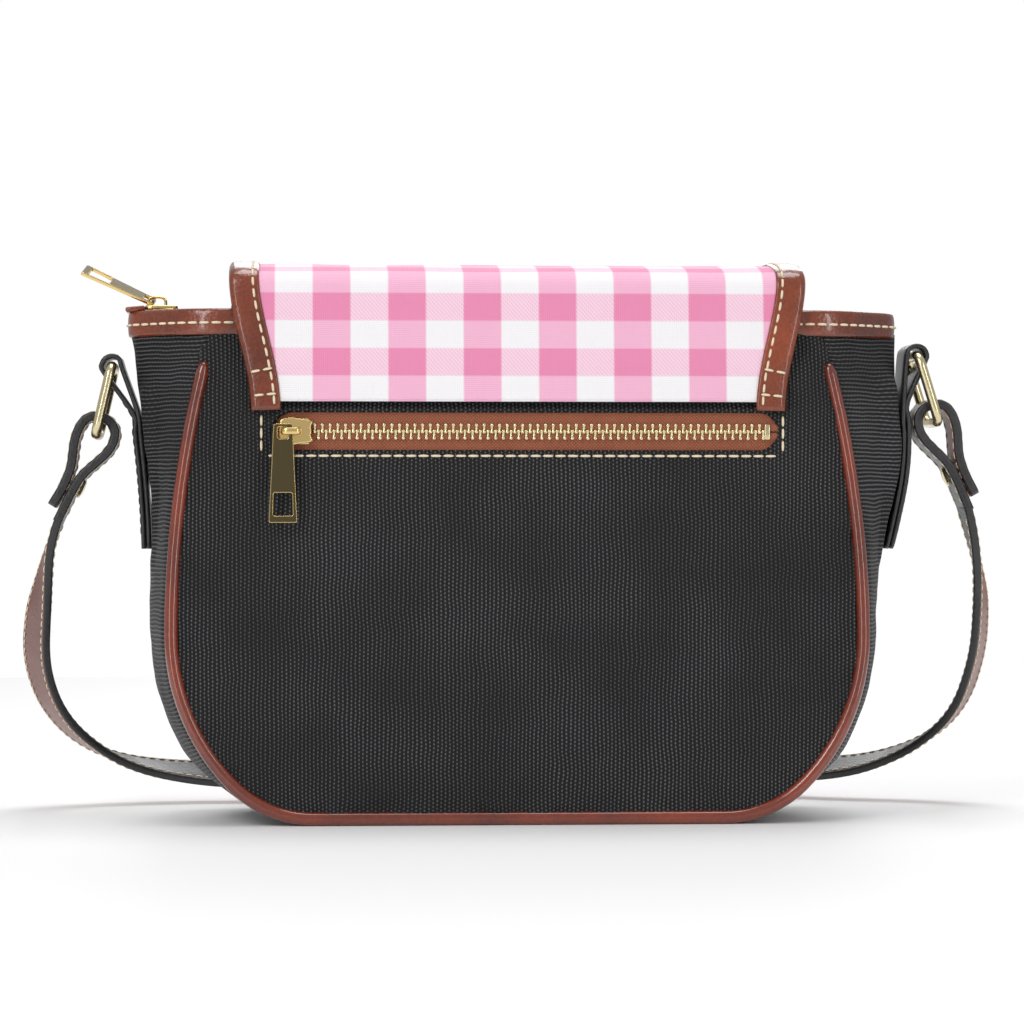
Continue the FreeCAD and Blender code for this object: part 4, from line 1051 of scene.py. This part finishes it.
def block(name, size, centre, bevel, material, turn=None):
    """A block with rounded edges."""
    work = bmesh.new()
    bmesh.ops.create_cube(work, size=1.0)
    for vert in work.verts:
        vert.co = Vector((vert.co.x * size[0], vert.co.y * size[1], vert.co.z * size[2]))
    bmesh.ops.bevel(work, geom=work.edges[:], offset=bevel, segments=3, profile=0.5, affect="EDGES")
    matrix = Matrix.Translation(centre) @ (turn.to_4x4() if turn else Matrix())
    bmesh.ops.transform(work, matrix=matrix, verts=work.verts)
    mesh = bpy.data.meshes.new(name)
    work.to_mesh(mesh)
    work.free()
    mesh.materials.append(MATERIALS[material])
    mesh.polygons.foreach_set("use_smooth", [True] * len(mesh.polygons))
    return linked(name, mesh)


def moved(item, matrix):
    item.data.transform(matrix)
    item.data.update()
    return item


def basis(right, up, out, centre):
    """The placement whose own X, Y and Z run along three given directions."""
    return Matrix.Translation(centre) @ Matrix((right, up, out)).transposed().to_4x4()


def crisp(item, angle=40.0):
    """Shade a metal part smooth except over its real corners."""
    work = bmesh.new()
    work.from_mesh(item.data)
    for edge in work.edges:
        edge.smooth = not (edge.is_manifold and edge.calc_face_angle(0.0) > math.radians(angle))
    work.to_mesh(item.data)
    work.free()
    item.data.polygons.foreach_set("use_smooth", [True] * len(item.data.polygons))
    return item


def revolve(name, profile, material, count=28):
    """A round part: (radius, height) pairs turned about its own Z."""
    verts = [Vector((r * math.cos(2 * math.pi * k / count), r * math.sin(2 * math.pi * k / count), h))
             for r, h in profile for k in range(count)]
    item = new_object(name, verts, tube_faces(len(profile), count), material)
    fix_normals(item)
    return crisp(item, 55)


# ---- the back pocket's zip ---------------------------------------------------------------------

TAPE_Y = -28.2 * MM
CHAIN_LEFT, CHAIN_RIGHT = -66.2 * MM, 80.6 * MM
PITCH = 2.47 * MM
FOOT_OUT = 2.2 * MM


def pocket_tape():
    """Two halves of ribbed tape behind the slot, each thickened where its teeth are held."""
    for name, sense in (("pocket_tape_upper", 1), ("pocket_tape_lower", -1)):
        across = [0.15, 0.9, 1.7, 2.3, 2.7, 3.1, 3.7, 4.6, 5.6, 6.6, 7.4]
        raised = [0.55, 0.75, 0.8, 0.7, 0.35, 0.1, 0.0, 0.0, 0.0, 0.0, 0.0]
        grid, uvs = [], []
        for k in range(110):
            x = -80.0 * MM + k * 165.0 * MM / 109
            row, uv = [], []
            for a, r in zip(across, raised):
                z = POCKET_Z + sense * a * MM
                y = TAPE_Y - r * MM + soft(12 * MM, x, z, 31.0) * 0.15 * MM
                row.append(Vector((x, y, z)))
                uv.append((x, z))
            grid.append(row)
            uvs.append(uv)
        item = cloth_sheet(name + "_weave", grid, uvs, "tape", 0.45 * MM, Y)
        fitted(item, "bag_body", "zip_tape", name)


def tooth_shape():
    """One metal tooth: a clamped foot, a narrow waist and a rounded head; X along the zip, Y to its edge."""
    levels = [(-0.55, 0.34, 0.45), (-0.45, 0.6, 0.8), (0.0, 0.72, 1.0), (0.45, 0.62, 0.9), (0.75, 0.5, 0.6),
              (1.2, 0.46, 0.5), (1.8, 0.5, 0.6), (2.2, 0.62, 0.95), (2.7, 0.6, 0.95), (2.9, 0.3, 0.6)]
    verts, faces = [], []
    for along, wide, high in levels:
        for k in range(8):
            angle = 2 * math.pi * (k + 0.5) / 8
            verts.append(Vector((wide * 1.08 * math.cos(angle), along, high * 0.95 * math.sin(angle))) * MM)
    return verts, tube_faces(len(levels), 8)


def chain(name, sense, centre, replaced):
    """A row of teeth; sense says on which side of the zip's middle their feet are held."""
    shape, shape_faces = tooth_shape()
    verts, faces = [], []
    count = int((CHAIN_RIGHT - CHAIN_LEFT) / PITCH)
    for k in range(count):
        along = CHAIN_LEFT + (k + (0.25 if sense > 0 else 0.75)) * PITCH
        start = len(verts)
        for v in shape:
            verts.append(centre + X * (along + v.x) + Z * (sense * (FOOT_OUT - v.y)) - Y * v.z)
        faces += [tuple(start + i for i in face) for face in shape_faces]
    item = new_object(name, verts, faces, "gold")
    fix_normals(item)
    fitted(item, "bag_body", "gold", replaced)


def pocket_zip():
    pocket_tape()
    centre = Vector((0, TAPE_Y - 0.8 * MM, POCKET_Z))
    chain("pocket_teeth_upper_row", 1, centre, "pocket_teeth_upper")
    chain("pocket_teeth_lower_row", -1, centre, "pocket_teeth_lower")
    stop = block("pocket_stop_metal", (1.9 * MM, 2.0 * MM, 5.2 * MM), centre + X * 80.2 * MM, 0.45 * MM, "gold")
    fitted(stop, "bag_body", "gold", "pocket_stop")
    low, left, right = 118.0 * MM, -82.6 * MM, 85.2 * MM

    def on_panel(x, z):
        return Vector((x, -panel_depth(x, z, True) - 0.05 * MM, z)), -Y

    bottom = [on_panel(left + (right - left) * k / 120, low) for k in range(121)]
    sides = [[on_panel(x, low + (132.5 * MM - low) * k / 12) for k in range(13)] for x in (left, right)]
    stitches("pocket_stitches", [bottom] + sides, "bag_body", long=3.4 * MM, pitch=4.0 * MM)


SLIDER_PLATE = [(-5.3, -2.6), (-4.4, -4.0), (-1.5, -4.4), (2.0, -3.9), (4.3, -3.6), (5.3, -2.9), (4.7, -1.5),
                (4.9, 0.0), (4.7, 1.5), (5.3, 2.9), (4.3, 3.6), (2.0, 3.9), (-1.5, 4.4), (-4.4, 4.0), (-5.3, 2.6)]


def slider(name, place, body, replaced):
    """A cast zip slider: two plates, a wedge between them and a bridge; X along the zip, Z outward."""
    shape = [(p.x, p.y) for p in smooth_line([Vector((a, b, 0)) * MM for a, b in SLIDER_PLATE], 4, True)]
    top = moved(plate_curve(name + "_top", shape, [], 1.4 * MM, 0.45 * MM, "bright_gold"),
                Matrix.Translation(Z * 1.97 * MM))
    low = moved(plate_curve(name + "_low", shape, [], 1.1 * MM, 0.35 * MM, "bright_gold"),
                Matrix.Translation(Z * -1.85 * MM))
    wedge = block(name + "_wedge", (1.6 * MM, 0.7 * MM, 4.4 * MM), Vector((3.8 * MM, 0, 0)), 0.2 * MM, "bright_gold")
    flanges = [block(f"{name}_flange_{s}", (7.0 * MM, 0.8 * MM, 0.9 * MM), Vector((0.6 * MM, s * 3.8 * MM, 1.2 * MM)),
                     0.3 * MM, "bright_gold") for s in (-1, 1)]
    arch = smooth_line([Vector(p) * MM for p in ((-4.3, 0, 2.3), (-4.3, 0, 4.2), (-3.5, 0, 5.3), (-1.6, 0, 5.5),
                                                 (0.4, 0, 5.3), (1.3, 0, 4.2), (1.3, 0, 2.3))], 5)
    frames = [(Y, ahead.cross(Y).normalized()) for ahead in headings(arch)]
    section = [(a * 1.15, b * 0.5) for a, b in circle(1.0 * MM, 14)]
    bridge = sweep(name + "_bridge", arch, frames, section, "bright_gold")
    item = joined(name + "_body", [crisp(top), crisp(low), wedge] + flanges + [bridge])
    moved(item, place)
    fitted(item, body, "gold", replaced)


def puller(name, place, long, top_wide, low_wide, eye_long, body, replaced):
    """A flat pull with an eye at its top and a window near its end; its own Y runs up, Z outward."""
    half_top, half_low, bar = top_wide / 2, low_wide / 2, 0.55 * MM
    shape = rounded_loop([(-half_top, bar), (-half_low, -long), (half_low, -long), (half_top, bar)],
                         [0.9 * MM, 0.7 * MM, 0.7 * MM, 0.9 * MM], 6)
    eye = rounded_loop([(-1.65 * MM, -bar), (-1.7 * MM, -eye_long), (1.7 * MM, -eye_long), (1.65 * MM, -bar)],
                       [0.7 * MM] * 4, 5)
    window = rounded_loop([(-2.9 * MM, -long + 9.6 * MM), (-3.1 * MM, -long + 2.3 * MM),
                           (3.1 * MM, -long + 2.3 * MM), (2.9 * MM, -long + 9.6 * MM)], [0.5 * MM] * 4, 4)
    item = plate_curve(name + "_plate", shape, [eye[::-1], window[::-1]], 1.2 * MM, 0.36 * MM, "bright_gold")
    crisp(item, 50)
    # The flat faces take the darker gold copy as a painted dark reflection, leaving only the bevelled edges bright.
    item.data.materials.append(MATERIALS["dark_reflection_gold"])
    for face in item.data.polygons:
        if abs(face.normal.z) > 0.98:
            face.material_index = 1
    moved(item, place)
    fitted(item, body, "gold", replaced)


def pullers():
    place = basis(X, Z, -Y, Vector((-71.5 * MM, -29.0 * MM, POCKET_Z)))
    slider("pocket_slider_cast", place, "pocket_slider", "pocket_slider")
    hang = Matrix.Rotation(math.radians(-5.5), 3, "X")
    place = basis(X, hang @ Z, hang @ -Y, Vector((-75.7, -32.6, 127.65)) * MM)
    puller("pocket_puller_cast", place, 31.3 * MM, 6.2 * MM, 9.2 * MM, 4.4 * MM, "pocket_puller", "pocket_puller")
    place = basis(X, Y, Z, Vector((-115.4 * MM, 0, 164.8 * MM)))
    slider("main_slider_cast", place, "main_slider", "main_slider")
    lift, roll = math.radians(25), math.radians(24)
    up = Vector((math.cos(lift), 0, -math.sin(lift)))
    out = Matrix.Rotation(roll, 3, up) @ Vector((math.sin(lift), 0, math.cos(lift)))
    place = basis(up.cross(out), up, out, Vector((-118.1, 0, 168.65)) * MM)
    puller("main_puller_cast", place, 25.0 * MM, 5.2 * MM, 8.2 * MM, 3.4 * MM, "main_puller", "main_puller")


def zip_end():
    """The small leather tab folded over the end of the main zip."""
    item = block("zip_end_tab_leather", (6.4 * MM, 11.6 * MM, 1.7 * MM), Vector((-123.8, 0, 166.2)) * MM, 0.7 * MM,
                 "brown", Matrix.Rotation(math.radians(-6), 3, "Y"))
    fitted(item, "bag_body", "brown_leather", "zip_end_tab")


# ---- rings, tabs and strap ---------------------------------------------------------------------

SIDES = (("left", -1, Vector((-131.2, 0, 147.4)) * MM, math.radians(13), math.radians(24)),
         ("right", 1, Vector((132.6, 0, 151.4)) * MM, math.radians(17), math.radians(21)))
RING_REACH = 22.8 * MM


def ring_foot(side, loop, tilt):
    return loop + Vector((side * math.sin(tilt), 0, -math.cos(tilt))) * RING_REACH


def rings():
    for name, side, loop, tilt, _ in SIDES:
        down = Vector((side * math.sin(tilt), 0, -math.cos(tilt)))
        half = 11.5 * MM
        corners = [(-half, 0), (half, 0), (half, RING_REACH), (-half, RING_REACH)]
        flat = rounded_loop(corners, [4 * MM] * 4, 8)
        path = even([loop + Y * a + down * b for a, b in flat], 0.8 * MM, True)
        out = Y.cross(down).normalized()
        frames = [(ahead.cross(out).normalized(), out) for ahead in headings(path, True)]
        item = sweep(f"ring_{name}_wire", path, frames, circle(1.6 * MM, 18), "gold", closed=True)
        fitted(item, f"ring_{name}", "gold", f"ring_{name}")


def band(name, path, across, wide, thick, first, second, edge=None, squeeze=None):
    """A leather strip: across gives its width direction at each point; first and second are its two faces."""
    half, round_off = wide / 2, min(0.55 * MM, thick * 0.35)
    deep = thick / 2
    section = [(-half + 1.2 * round_off, deep), (-half * 0.5, deep), (0, deep), (half * 0.5, deep),
               (half - 1.2 * round_off, deep), (half - 0.3 * round_off, deep - 0.35 * round_off),
               (half, deep - 1.2 * round_off), (half, -deep + 1.2 * round_off),
               (half - 0.3 * round_off, -deep + 0.35 * round_off), (half - 1.2 * round_off, -deep),
               (half * 0.5, -deep), (0, -deep), (-half * 0.5, -deep), (-half + 1.2 * round_off, -deep),
               (-half + 0.3 * round_off, -deep + 0.35 * round_off), (-half, -deep + 1.2 * round_off),
               (-half, deep - 1.2 * round_off), (-half + 0.3 * round_off, deep - 0.35 * round_off)]
    frames = []
    for wide_way, ahead in zip(across, headings(path)):
        side = (wide_way - ahead * wide_way.dot(ahead)).normalized()
        frames.append((side, side.cross(ahead).normalized()))
    count = len(section)
    verts, uvs, travelled = [], [], 0.0
    for i, (point, (side, up)) in enumerate(zip(path, frames)):
        if i:
            travelled += (point - path[i - 1]).length
        girth = squeeze(i / (len(path) - 1)) if squeeze else 1.0
        for a, b in section:
            verts.append(point + side * a * girth + up * b)
            uvs.append((travelled, a))
    item = new_object(name, verts, tube_faces(len(path), count), first, True, uvs)
    item.data.materials.append(MATERIALS[second])
    item.data.materials.append(MATERIALS[edge or second])
    for face in item.data.polygons:
        column = face.index % count
        if face.index >= count * (len(path) - 1):
            face.material_index = 2
        elif column < 4:
            face.material_index = 0
        elif 9 <= column < 13:
            face.material_index = 1
        else:
            face.material_index = 2
    fix_normals(item)
    return item, frames


def tab_path(side, loop):
    """The strip's middle line: up the side wall, round the ring's bar and back down over itself."""
    layer, deep = 1.45 * MM, 3.0 * MM
    inner, outer = [], []
    for k in range(24):
        z = (88.0 + k * 2.1) * MM
        wall = ridge_x(side, z)
        inner.append(Vector((wall + side * (0.35 * MM + layer / 2), 0, z)))
        outer.append(Vector((wall + side * (0.35 * MM + deep - layer / 2 + 0.12 * MM), 0, z)))
    radius = 3.35 * MM
    start = loop + Vector((-side * radius, 0, 0))
    turn = [loop + Vector((-side * radius * math.cos(a), 0, radius * math.sin(a)))
            for a in [math.radians(20 + 14 * k) for k in range(15)]]
    top = loop.z - 6.5 * MM
    inner = [p for p in inner if p.z < top - 2.0 * MM]
    outer = [p for p in outer if p.z < top - 8.0 * MM]
    rise = [start + Z * -1.0 * MM]
    return inner, rise + turn, outer[::-1]


def tabs():
    for name, side, loop, _, _ in SIDES:
        inner, turn, outer = tab_path(side, loop)
        line = even(smooth_line(inner[::3] + turn[::3] + outer[::3] + [outer[-1]], 8), 1.0 * MM)
        total = len(line) - 1

        def squeeze(share):
            end = min(share, 1 - share) * total
            return 0.62 + 0.38 * math.sqrt(max(0.0, 1 - (1 - min(1.0, end / 8.0)) ** 2))

        item, frames = band(f"tab_{name}_strip", line, [Y] * len(line), 18 * MM, 1.5 * MM, "black", "black",
                            squeeze=squeeze)
        fitted(item, "bag_body", "black_leather", f"tab_{name}")
        seams = []
        for sense in (-1, 1):
            seam = []
            for i in range(int(total * 0.62), total - 3):
                normal = frames[i][1]
                if normal.x * side < 0:
                    normal = -normal
                seam.append((line[i] + Y * sense * 7.0 * MM + normal * 0.8 * MM, normal))
            seams.append(seam)
        stitches(f"tab_{name}_stitches", seams, "bag_body", material="dark_thread", long=2.6 * MM, pitch=3.2 * MM,
                 wide=0.32 * MM)


STRAP_WIDE, STRAP_THICK, STRAP_STEP = 15 * MM, 2.7 * MM, 1.5 * MM
BLEND_LONG = 52 * MM
LEFT_ROUTE = [(-151.2, 0.8, 91.0), (-154.2, 6, 76.0), (-157.2, 15, 61.0), (-157.6, 26, 47.5), (-153.6, 37, 34.0),
              (-145.0, 47, 23.0), (-131.0, 55, 14.4), (-109.0, 61, 10.2), (-72.0, 62.5, 8.4),
              (-22.0, 62, 8.8), (22.0, 61.8, 9.6),
              (44.0, 62.6, 10.4), (54.5, 69, 11.0), (57.0, 77, 11.2), (54.0, 86, 11.2), (43.0, 91.6, 11.2),
              (20.0, 92.5, 11.2), (-24.0, 91.6, 11.2), (-60.0, 91.0, 11.2), (-74.0, 95, 11.2), (-78.0, 105, 11.2),
              (-74.0, 114.0, 11.2), (-60.0, 118.3, 11.2), (-44.0, 118.5, 11.2), (-24.0, 118.5, 11.2),
              (-6.0, 118.5, 11.2), (14.0, 118.5, 11.2), (34.0, 118.5, 11.2)]
RIGHT_ROUTE = [(152.4, 0.8, 93.0), (155.2, 4, 80.0), (157.8, 12, 66.0), (158.6, 24, 50.4), (155.4, 38, 33.0),
               (145.4, 49, 21.0),
               (130.0, 57, 13.6), (114.0, 63, 10.6), (97.0, 74, 10.2), (83.0, 90, 10.6), (70.0, 106, 11.0),
               (54.0, 117, 11.2), (36.0, 121.6, 11.2), (20.0, 122.4, 11.2), (6.0, 122.4, 11.2), (-9.0, 122.4, 11.2)]


def guide(name, points):
    """The strap's route as a spline, read back as a fine line of points."""
    data = bpy.data.curves.new(name, "CURVE")
    data.dimensions = "3D"
    data.resolution_u = 24
    spline = data.splines.new("NURBS")
    spline.points.add(len(points) - 1)
    for point, place in zip(spline.points, points):
        point.co = (place[0], place[1], place[2], 1)
    spline.order_u = 3
    spline.use_endpoint_u = True
    item = linked(name, data)
    mesh = bpy.data.meshes.new_from_object(item)
    line = [v.co.copy() for v in mesh.vertices]
    bpy.data.objects.remove(item)
    bpy.data.meshes.remove(mesh)
    return line


def strap(name, side, route, turns):
    """One half of the shoulder strap, from its folded end at the ring to its end behind the bag."""
    label, _, loop, tilt, slant = SIDES[0 if side < 0 else 1]
    foot = ring_foot(side, loop, tilt)
    heading = Vector((side * math.sin(slant), 0, -math.cos(slant)))
    start = foot + heading * 28.6 * MM
    points = [tuple(start)] + [tuple(Vector(p) * MM) for p in route]
    line = even(guide(name + "_route", points), STRAP_STEP)
    total = len(line) - 1
    across = []
    for i in range(len(line)):
        done = i * STRAP_STEP
        k = 0
        while k < len(turns) - 2 and turns[k + 1][0] * MM < done:
            k += 1
        share = smoothstep(turns[k][0] * MM, turns[k + 1][0] * MM, done)
        across.append(Vector(turns[k][1]).lerp(Vector(turns[k + 1][1]), share))
    item, frames = band(name + "_leather", line, across, STRAP_WIDE, STRAP_THICK,
                        *(("strap_brown", "strap_black") if side < 0 else ("strap_black", "strap_brown")),
                        edge="strap_black")
    seams = []
    for face in (1, -1):
        for edge in (-1, 1):
            seams.append([(line[i] + frames[i][0] * edge * 5.9 * MM + frames[i][1] * face * 1.36 * MM,
                           frames[i][1] * face) for i in range(2, total - 1)])
    thread_rows = stitches(name + "_stitches", seams, None, long=2.5 * MM, pitch=3.4 * MM, wide=0.55 * MM)
    for part in (item, thread_rows):
        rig.blend(part, f"ring_{label}", "bag_body", start=start, end=start - Z * BLEND_LONG)
    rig.slot(item, "strap_leather")
    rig.replaces(item, name)
    return item, line


def strap_fold(side):
    """The strap's folded end round the ring's lower bar, with its tail riveted back on the outside."""
    label, _, loop, tilt, slant = SIDES[0 if side < 0 else 1]
    foot = ring_foot(side, loop, tilt)
    down = Vector((side * math.sin(slant), 0, -math.cos(slant)))
    out = Vector((side * math.cos(slant), 0, math.sin(slant)))
    shape = [(31.0, 0.1), (26.0, -0.1), (20.0, -0.3), (14.0, -1.2), (8.5, -3.6), (4.0, -5.5), (0.0, -6.0),
             (-3.6, -4.9), (-5.5, -2.4), (-6.0, 0.4), (-5.3, 3.0), (-3.4, 5.1), (0.0, 6.0), (4.5, 5.7), (9.0, 4.4),
             (13.5, 3.2), (20.0, 3.0), (27.0, 3.9)]
    line = even(smooth_line([foot + down * a * MM + out * b * MM for a, b in shape], 6), 1.0 * MM)
    total = len(line) - 1

    def squeeze(share):
        end = (1 - share) * total
        return 0.72 + 0.28 * math.sqrt(max(0.0, 1 - (1 - min(1.0, end / 4.0)) ** 2))

    faces = ("strap_black", "strap_brown") if side < 0 else ("strap_brown", "strap_black")
    item, frames = band(f"strap_end_{label}_fold", line, [Y] * len(line), STRAP_WIDE, 2.9 * MM, *faces,
                        edge="strap_black", squeeze=squeeze)
    fitted(item, f"ring_{label}", "strap_leather", f"strap_end_{label}")
    seams = []
    for edge in (-1, 1):
        for face in (-1, 1):
            seam = [(line[i] + Y * edge * 5.8 * MM + frames[i][1] * face * 1.43 * MM, frames[i][1] * face)
                    for i in range(2, total - 4)]
            seams.append(seam)
    stitches(f"strap_end_{label}_stitches", seams, f"ring_{label}", long=2.5 * MM, pitch=3.4 * MM, wide=0.45 * MM)
    dome = revolve(f"strap_rivet_{label}_dome", [(2.4 * MM, -2.2 * MM), (2.4 * MM, 0.0), (3.4 * MM, 0.05 * MM),
                                                 (3.5 * MM, 0.3 * MM), (3.2 * MM, 0.75 * MM), (2.2 * MM, 1.1 * MM),
                                                 (0.9 * MM, 1.25 * MM)], "gold")
    moved(dome, basis(Y, (-out).cross(Y), -out, foot + down * 18.0 * MM - out * 2.15 * MM))
    cap = revolve(f"strap_rivet_{label}_cap", [(2.4 * MM, -1.6 * MM), (2.4 * MM, 0.0), (3.0 * MM, 0.05 * MM),
                                               (3.1 * MM, 0.25 * MM), (2.8 * MM, 0.6 * MM), (0.9 * MM, 0.85 * MM)],
                  "gold")
    moved(cap, basis(Y, out.cross(Y), out, foot + down * 18.0 * MM + out * 4.1 * MM))
    rivet = joined(f"strap_rivet_{label}_metal", [dome, cap])
    fitted(rivet, f"ring_{label}", "gold", f"strap_rivet_{label}")


def straps():
    strap_fold(-1)
    strap_fold(1)
    left_turns = [(0, (0, 1, 0)), (40, (-0.45, 0.9, 0)), (90, (-0.5, 0.85, 0.1)), (150, (-0.3, 0.85, 0.4)),
                  (205, (0, 0.5, 0.86)), (260, (0, 0.1, 1)), (700, (0, 0, 1))]
    right_turns = [(0, (0, 1, 0)), (40, (0.35, 0.93, 0)), (90, (0.4, 0.9, 0.1)), (150, (0.3, 0.85, 0.4)),
                   (205, (0, 0.5, 0.86)), (260, (0, 0.1, 1)), (400, (0, 0, 1))]
    long_strap, long_line = strap("strap_long", -1, LEFT_ROUTE, left_turns)
    short_strap, short_line = strap("strap_short", 1, RIGHT_ROUTE, right_turns)
    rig.cord(long_strap, exit=long_line[0], length=0.586, diameter=0.015, far_end="bare", stiffness="medium",
            lay="loose", path=long_line)
    return short_strap, short_line


def buckle(short_strap, short_line):
    """The buckle's frame, its prong and the two keepers that hold the long strap's end."""
    turn = Matrix.Rotation(math.radians(24), 3, "Z")
    centre = Vector((-20.0, 118.5, 11.2)) * MM
    right, up, out = turn @ X, Z, turn @ -Y
    corners = [(-9.0, -10.5), (9.0, -10.5), (9.0, 10.5), (-9.0, 10.5)]
    flat = rounded_loop([(a * MM, b * MM) for a, b in corners], [2.2 * MM] * 4, 6)
    path = even([centre + right * a + up * b for a, b in flat], 0.9 * MM, True)
    frames = [(ahead.cross(out).normalized(), out) for ahead in headings(path, True)]
    section = [(a * 1.2, b * 1.2) for a, b in circle(1.0 * MM, 14)]
    ring = sweep("buckle_frame_wire", path, frames, section, "gold", closed=True)
    fitted(ring, "bag_body", "gold", "buckle_frame")
    pieces = [ring, "buckle_prong"]
    for name, x, body in (("keeper_fixed", 6.0, "bag_body"), ("keeper_sliding", 22.0, "keeper_sliding")):
        loop = rounded_loop([(-5.6 * MM, -10.0 * MM), (5.6 * MM, -10.0 * MM), (5.6 * MM, 10.0 * MM),
                             (-5.6 * MM, 10.0 * MM)], [2.0 * MM] * 4, 6)
        middle = Vector((x, 120.4, 11.2)) * MM
        inset = 0.25 * MM
        path = even([middle + Y * (a - math.copysign(inset, a)) + Z * (b - math.copysign(inset, b))
                     for a, b in loop], 0.9 * MM, True)
        frames = [(X, X.cross(ahead).normalized()) for ahead in headings(path, True)]
        section = [(a * MM, b * MM) for a, b in ((-3.0, -0.3), (-2.8, 0.5), (-1.5, 0.6), (1.5, 0.6), (2.8, 0.5),
                                                 (3.0, -0.3), (2.8, -0.6), (-2.8, -0.6))]
        keeper = sweep(name + "_leather", path, frames, section, "strap_brown", closed=True)
        fitted(keeper, body, "strap_leather", name)
        pieces.append(keeper)
    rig.cord(short_strap, exit=short_line[0], length=0.285, diameter=0.015, far_end="fitting", stiffness="medium",
            lay="loose", path=short_line, with_pieces=pieces)


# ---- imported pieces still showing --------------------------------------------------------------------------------

SLOT_MATERIALS = {"black_fabric": "panel_cloth", "lining_cloth": "lining", "brown_leather": "brown",
                  "piping_leather": "piping", "black_leather": "black", "strap_leather": "strap_brown",
                  "gingham": "gingham", "zip_tape": "tape", "gold": "gold", "stiffener": "board"}


def dress_cad():
    """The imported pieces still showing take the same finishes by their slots."""
    for item in bpy.data.objects:
        if item.type != "MESH" or item.hide_render:
            continue
        for place in item.material_slots:
            name = place.material.name.split(".")[0] if place.material else ""
            if name in SLOT_MATERIALS:
                place.material = MATERIALS[SLOT_MATERIALS[name]]


# ---- floor, light and camera -------------------------------------------------------------------


def lamp(name, place, aim, size, power, colour=(1.0, 1.0, 1.0)):
    data = bpy.data.lights.new(name, "AREA")
    data.shape = "RECTANGLE"
    data.size, data.size_y = size
    data.energy = power
    data.color = colour
    item = linked(name, data)
    item.location = place
    item.rotation_euler = (Vector(aim) - Vector(place)).to_track_quat("-Z", "Y").to_euler()
    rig.stage(item)


def studio():
    bpy.context.scene.view_settings.view_transform = "Standard"
    bpy.context.scene.view_settings.look = "None"
    n = Nodes("studio_floor")
    n.colour(linear(250, 250, 250))
    MATERIALS["floor"] = n.finish(0.6)
    floor = new_object("floor", [Vector(p) for p in ((-1, -1, 0), (1, -1, 0), (1, 1, 0), (-1, 1, 0))],
                       [(0, 1, 2, 3)], "floor", False)
    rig.stage(floor)
    world = bpy.data.worlds.new("studio")
    world.use_nodes = True
    tree = world.node_tree
    lit = tree.nodes["Background"]
    lit.inputs[1].default_value = 0.5
    lit.inputs[0].default_value = (1.0, 1.0, 1.0, 1.0)
    seen = tree.nodes.new("ShaderNodeBackground")
    seen.inputs[0].default_value = (1.0, 1.0, 1.0, 1.0)
    ray = tree.nodes.new("ShaderNodeLightPath")
    either = tree.nodes.new("ShaderNodeMixShader")
    tree.links.new(ray.outputs["Is Camera Ray"], either.inputs[0])
    tree.links.new(lit.outputs[0], either.inputs[1])
    tree.links.new(seen.outputs[0], either.inputs[2])
    tree.links.new(either.outputs[0], tree.nodes["World Output"].inputs[0])
    bpy.context.scene.world = world
    lamp("key", (-0.9, -1.2, 1.3), (0, 0, 0.1), (0.7, 0.7), 8.5)
    lamp("strip_left", (-0.75, -1.1, 0.35), (0, 0, 0.1), (0.1, 1.0), 2.6)
    lamp("strip_right", (0.85, -1.0, 0.35), (0, 0, 0.1), (0.12, 1.0), 2.6)
    lamp("top", (0.1, 0.2, 1.5), (0, 0, 0.1), (0.8, 0.8), 9)
    lamp("behind", (0.2, 1.4, 0.9), (0, 0, 0.1), (0.9, 0.9), 5)


def camera():
    data = bpy.data.cameras.new("camera")
    data.sensor_width = 36.0
    data.lens = 126.3
    item = linked("camera", data)
    turn = math.radians(3.5)
    target = Vector((-0.0005, 0, 0.100))
    item.location = target + Vector((-math.sin(turn), -math.cos(turn), 0)) * 1.183
    item.rotation_euler = (target - item.location).to_track_quat("-Z", "Y").to_euler()
    bpy.context.scene.camera = item
    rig.stage(item)


panel("back_panel_fabric", True)
panel("front_panel_fabric", False)
gusset()
piping("piping_back", -1)
piping("piping_front", 1)
rim()
flap()
pocket_zip()
pullers()
rings()
tabs()
buckle(*straps())
zip_end()
dress_cad()
studio()
camera()

bpy.context.view_layer.update()
final_bounds = [list(corner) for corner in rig.bounds()]
with open("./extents.json", "w") as record:
    json.dump({"cad": cad_bounds, "final": final_bounds}, record)
